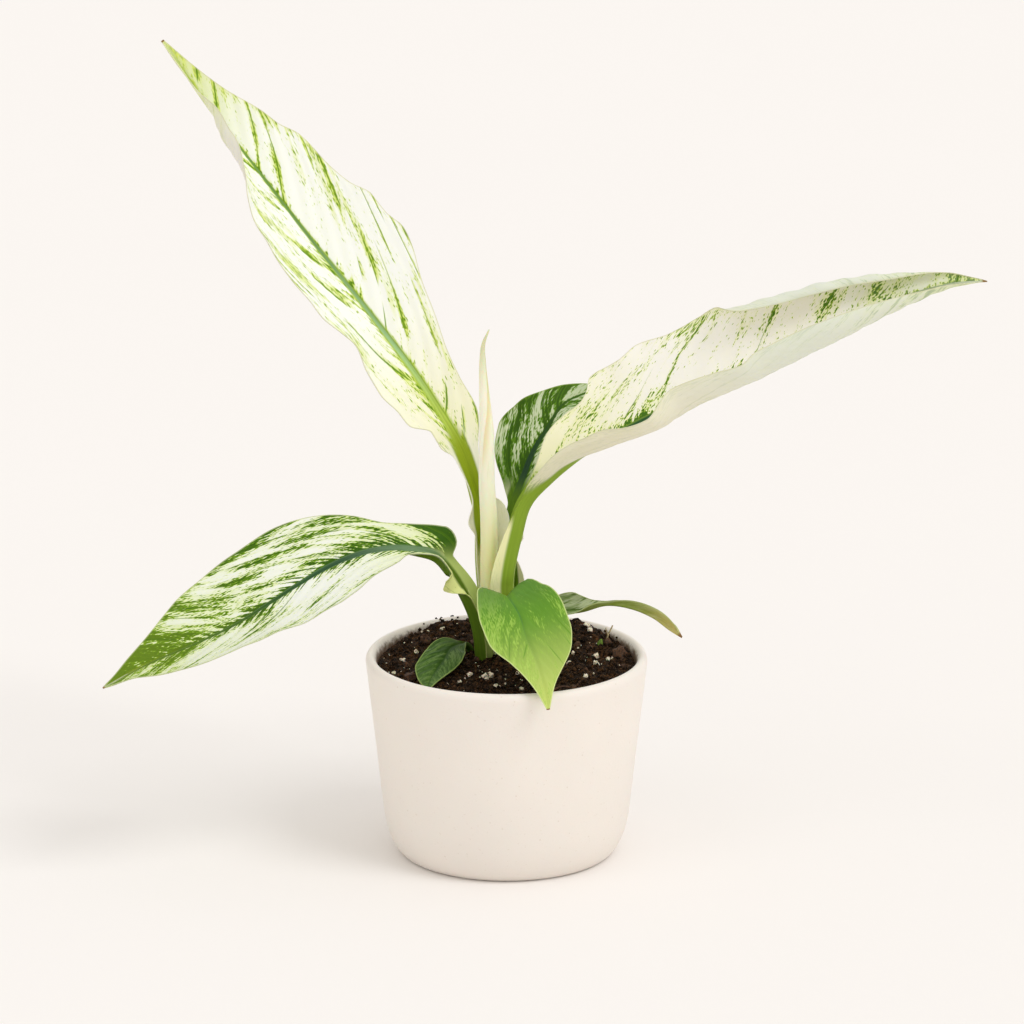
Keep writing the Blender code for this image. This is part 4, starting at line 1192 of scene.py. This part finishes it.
def make_stage():
    """A flat square floor, an even sky, two soft lamps and the camera."""
    stage = look().stage
    half = stage.width / 2
    mesh = bpy.data.meshes.new("floor")
    corners = [(-half, -half, 0), (half, -half, 0), (half, half, 0), (-half, half, 0)]
    mesh.from_pydata(corners, [], [(0, 1, 2, 3)])
    mesh.materials.append(floor_finish())
    add_item("floor", mesh)

    world = bpy.data.worlds.new("even_sky")
    world.use_nodes = True
    background = world.node_tree.nodes["Background"]
    background.inputs["Color"].default_value = (*shade(255, 253, 250), 1)
    background.inputs["Strength"].default_value = stage.sky
    bpy.context.scene.world = world

    for name, energy, turn in (("key", stage.key, stage.key_turn),
                               ("fill", stage.fill, -stage.key_turn)):
        lamp = bpy.data.lights.new(name, "SUN")
        lamp.energy = energy
        lamp.angle = stage.softness
        lamp.color = shade(252, 254, 255)
        add_item(name, lamp).rotation_euler = Euler((math.pi / 2 - stage.key_height, 0, turn))

    lens = bpy.data.cameras.new("camera")
    lens.lens = stage.lens
    lens.clip_end = 100
    camera = add_item("camera", lens)
    back = Vector((0, -math.cos(stage.camera_height), math.sin(stage.camera_height)))
    camera.location = Vector(stage.target) + back * stage.camera_away
    camera.rotation_euler = Euler((math.pi / 2 - stage.camera_height, 0, 0))
    bpy.context.scene.camera = camera
    bpy.context.scene.view_settings.view_transform = "Standard"


# Add-on

class LILY_OT_pot(bpy.types.Operator):
    """Adds the stoneware pot"""
    bl_idname = "lily.pot"
    bl_label = "Pot"

    def execute(self, context):
        make_pot()
        return {"FINISHED"}


class LILY_OT_soil(bpy.types.Operator):
    """Adds the potting mix"""
    bl_idname = "lily.soil"
    bl_label = "Potting mix"

    def execute(self, context):
        make_soil()
        return {"FINISHED"}


class LILY_OT_grains(bpy.types.Operator):
    """Strews crumbs, perlite, bark and twigs over the mix"""
    bl_idname = "lily.grains"
    bl_label = "Crumbs and grains"

    def execute(self, context):
        make_grains()
        return {"FINISHED"}


class LILY_OT_leaves(bpy.types.Operator):
    """Adds the seven open leaves"""
    bl_idname = "lily.leaves"
    bl_label = "Open leaves"

    def execute(self, context):
        for name, leaf in LEAVES.items():
            make_leaf(name, leaf)
        return {"FINISHED"}


class LILY_OT_spear(bpy.types.Operator):
    """Adds the new leaf, still rolled up"""
    bl_idname = "lily.spear"
    bl_label = "Rolled leaf"

    def execute(self, context):
        make_spear()
        return {"FINISHED"}


class LILY_OT_stage(bpy.types.Operator):
    """Adds the floor, the light and the camera"""
    bl_idname = "lily.stage"
    bl_label = "Stage"

    def execute(self, context):
        make_stage()
        return {"FINISHED"}


class LILY_PT_panel(bpy.types.Panel):
    """Lists the pieces and their settings"""
    bl_label = "Peace lily"
    bl_idname = "LILY_PT_panel"
    bl_space_type = "VIEW_3D"
    bl_region_type = "UI"
    bl_category = "Peace lily"

    def draw(self, context):
        for group in ("pot", "soil", "leaf", "stage"):
            box = self.layout.box()
            settings = getattr(context.scene.peace_lily, group)
            for name in settings.__annotations__:
                box.prop(settings, name)
        for operator in OPERATORS:
            self.layout.operator(operator.bl_idname)


OPERATORS = (LILY_OT_pot, LILY_OT_soil, LILY_OT_grains, LILY_OT_leaves, LILY_OT_spear,
             LILY_OT_stage)
CLASSES = (PotLook, SoilLook, LeafLook, StageLook, LilyLook, *OPERATORS, LILY_PT_panel)


def register():
    for item in CLASSES:
        bpy.utils.register_class(item)
    bpy.types.Scene.peace_lily = PointerProperty(type=LilyLook)


def unregister():
    del bpy.types.Scene.peace_lily
    for item in reversed(CLASSES):
        bpy.utils.unregister_class(item)


def main():
    register()
    bpy.ops.lily.pot()
    bpy.ops.lily.soil()
    bpy.ops.lily.grains()
    bpy.ops.lily.leaves()
    bpy.ops.lily.spear()
    bpy.ops.lily.stage()


if __name__ == "__main__":
    main()
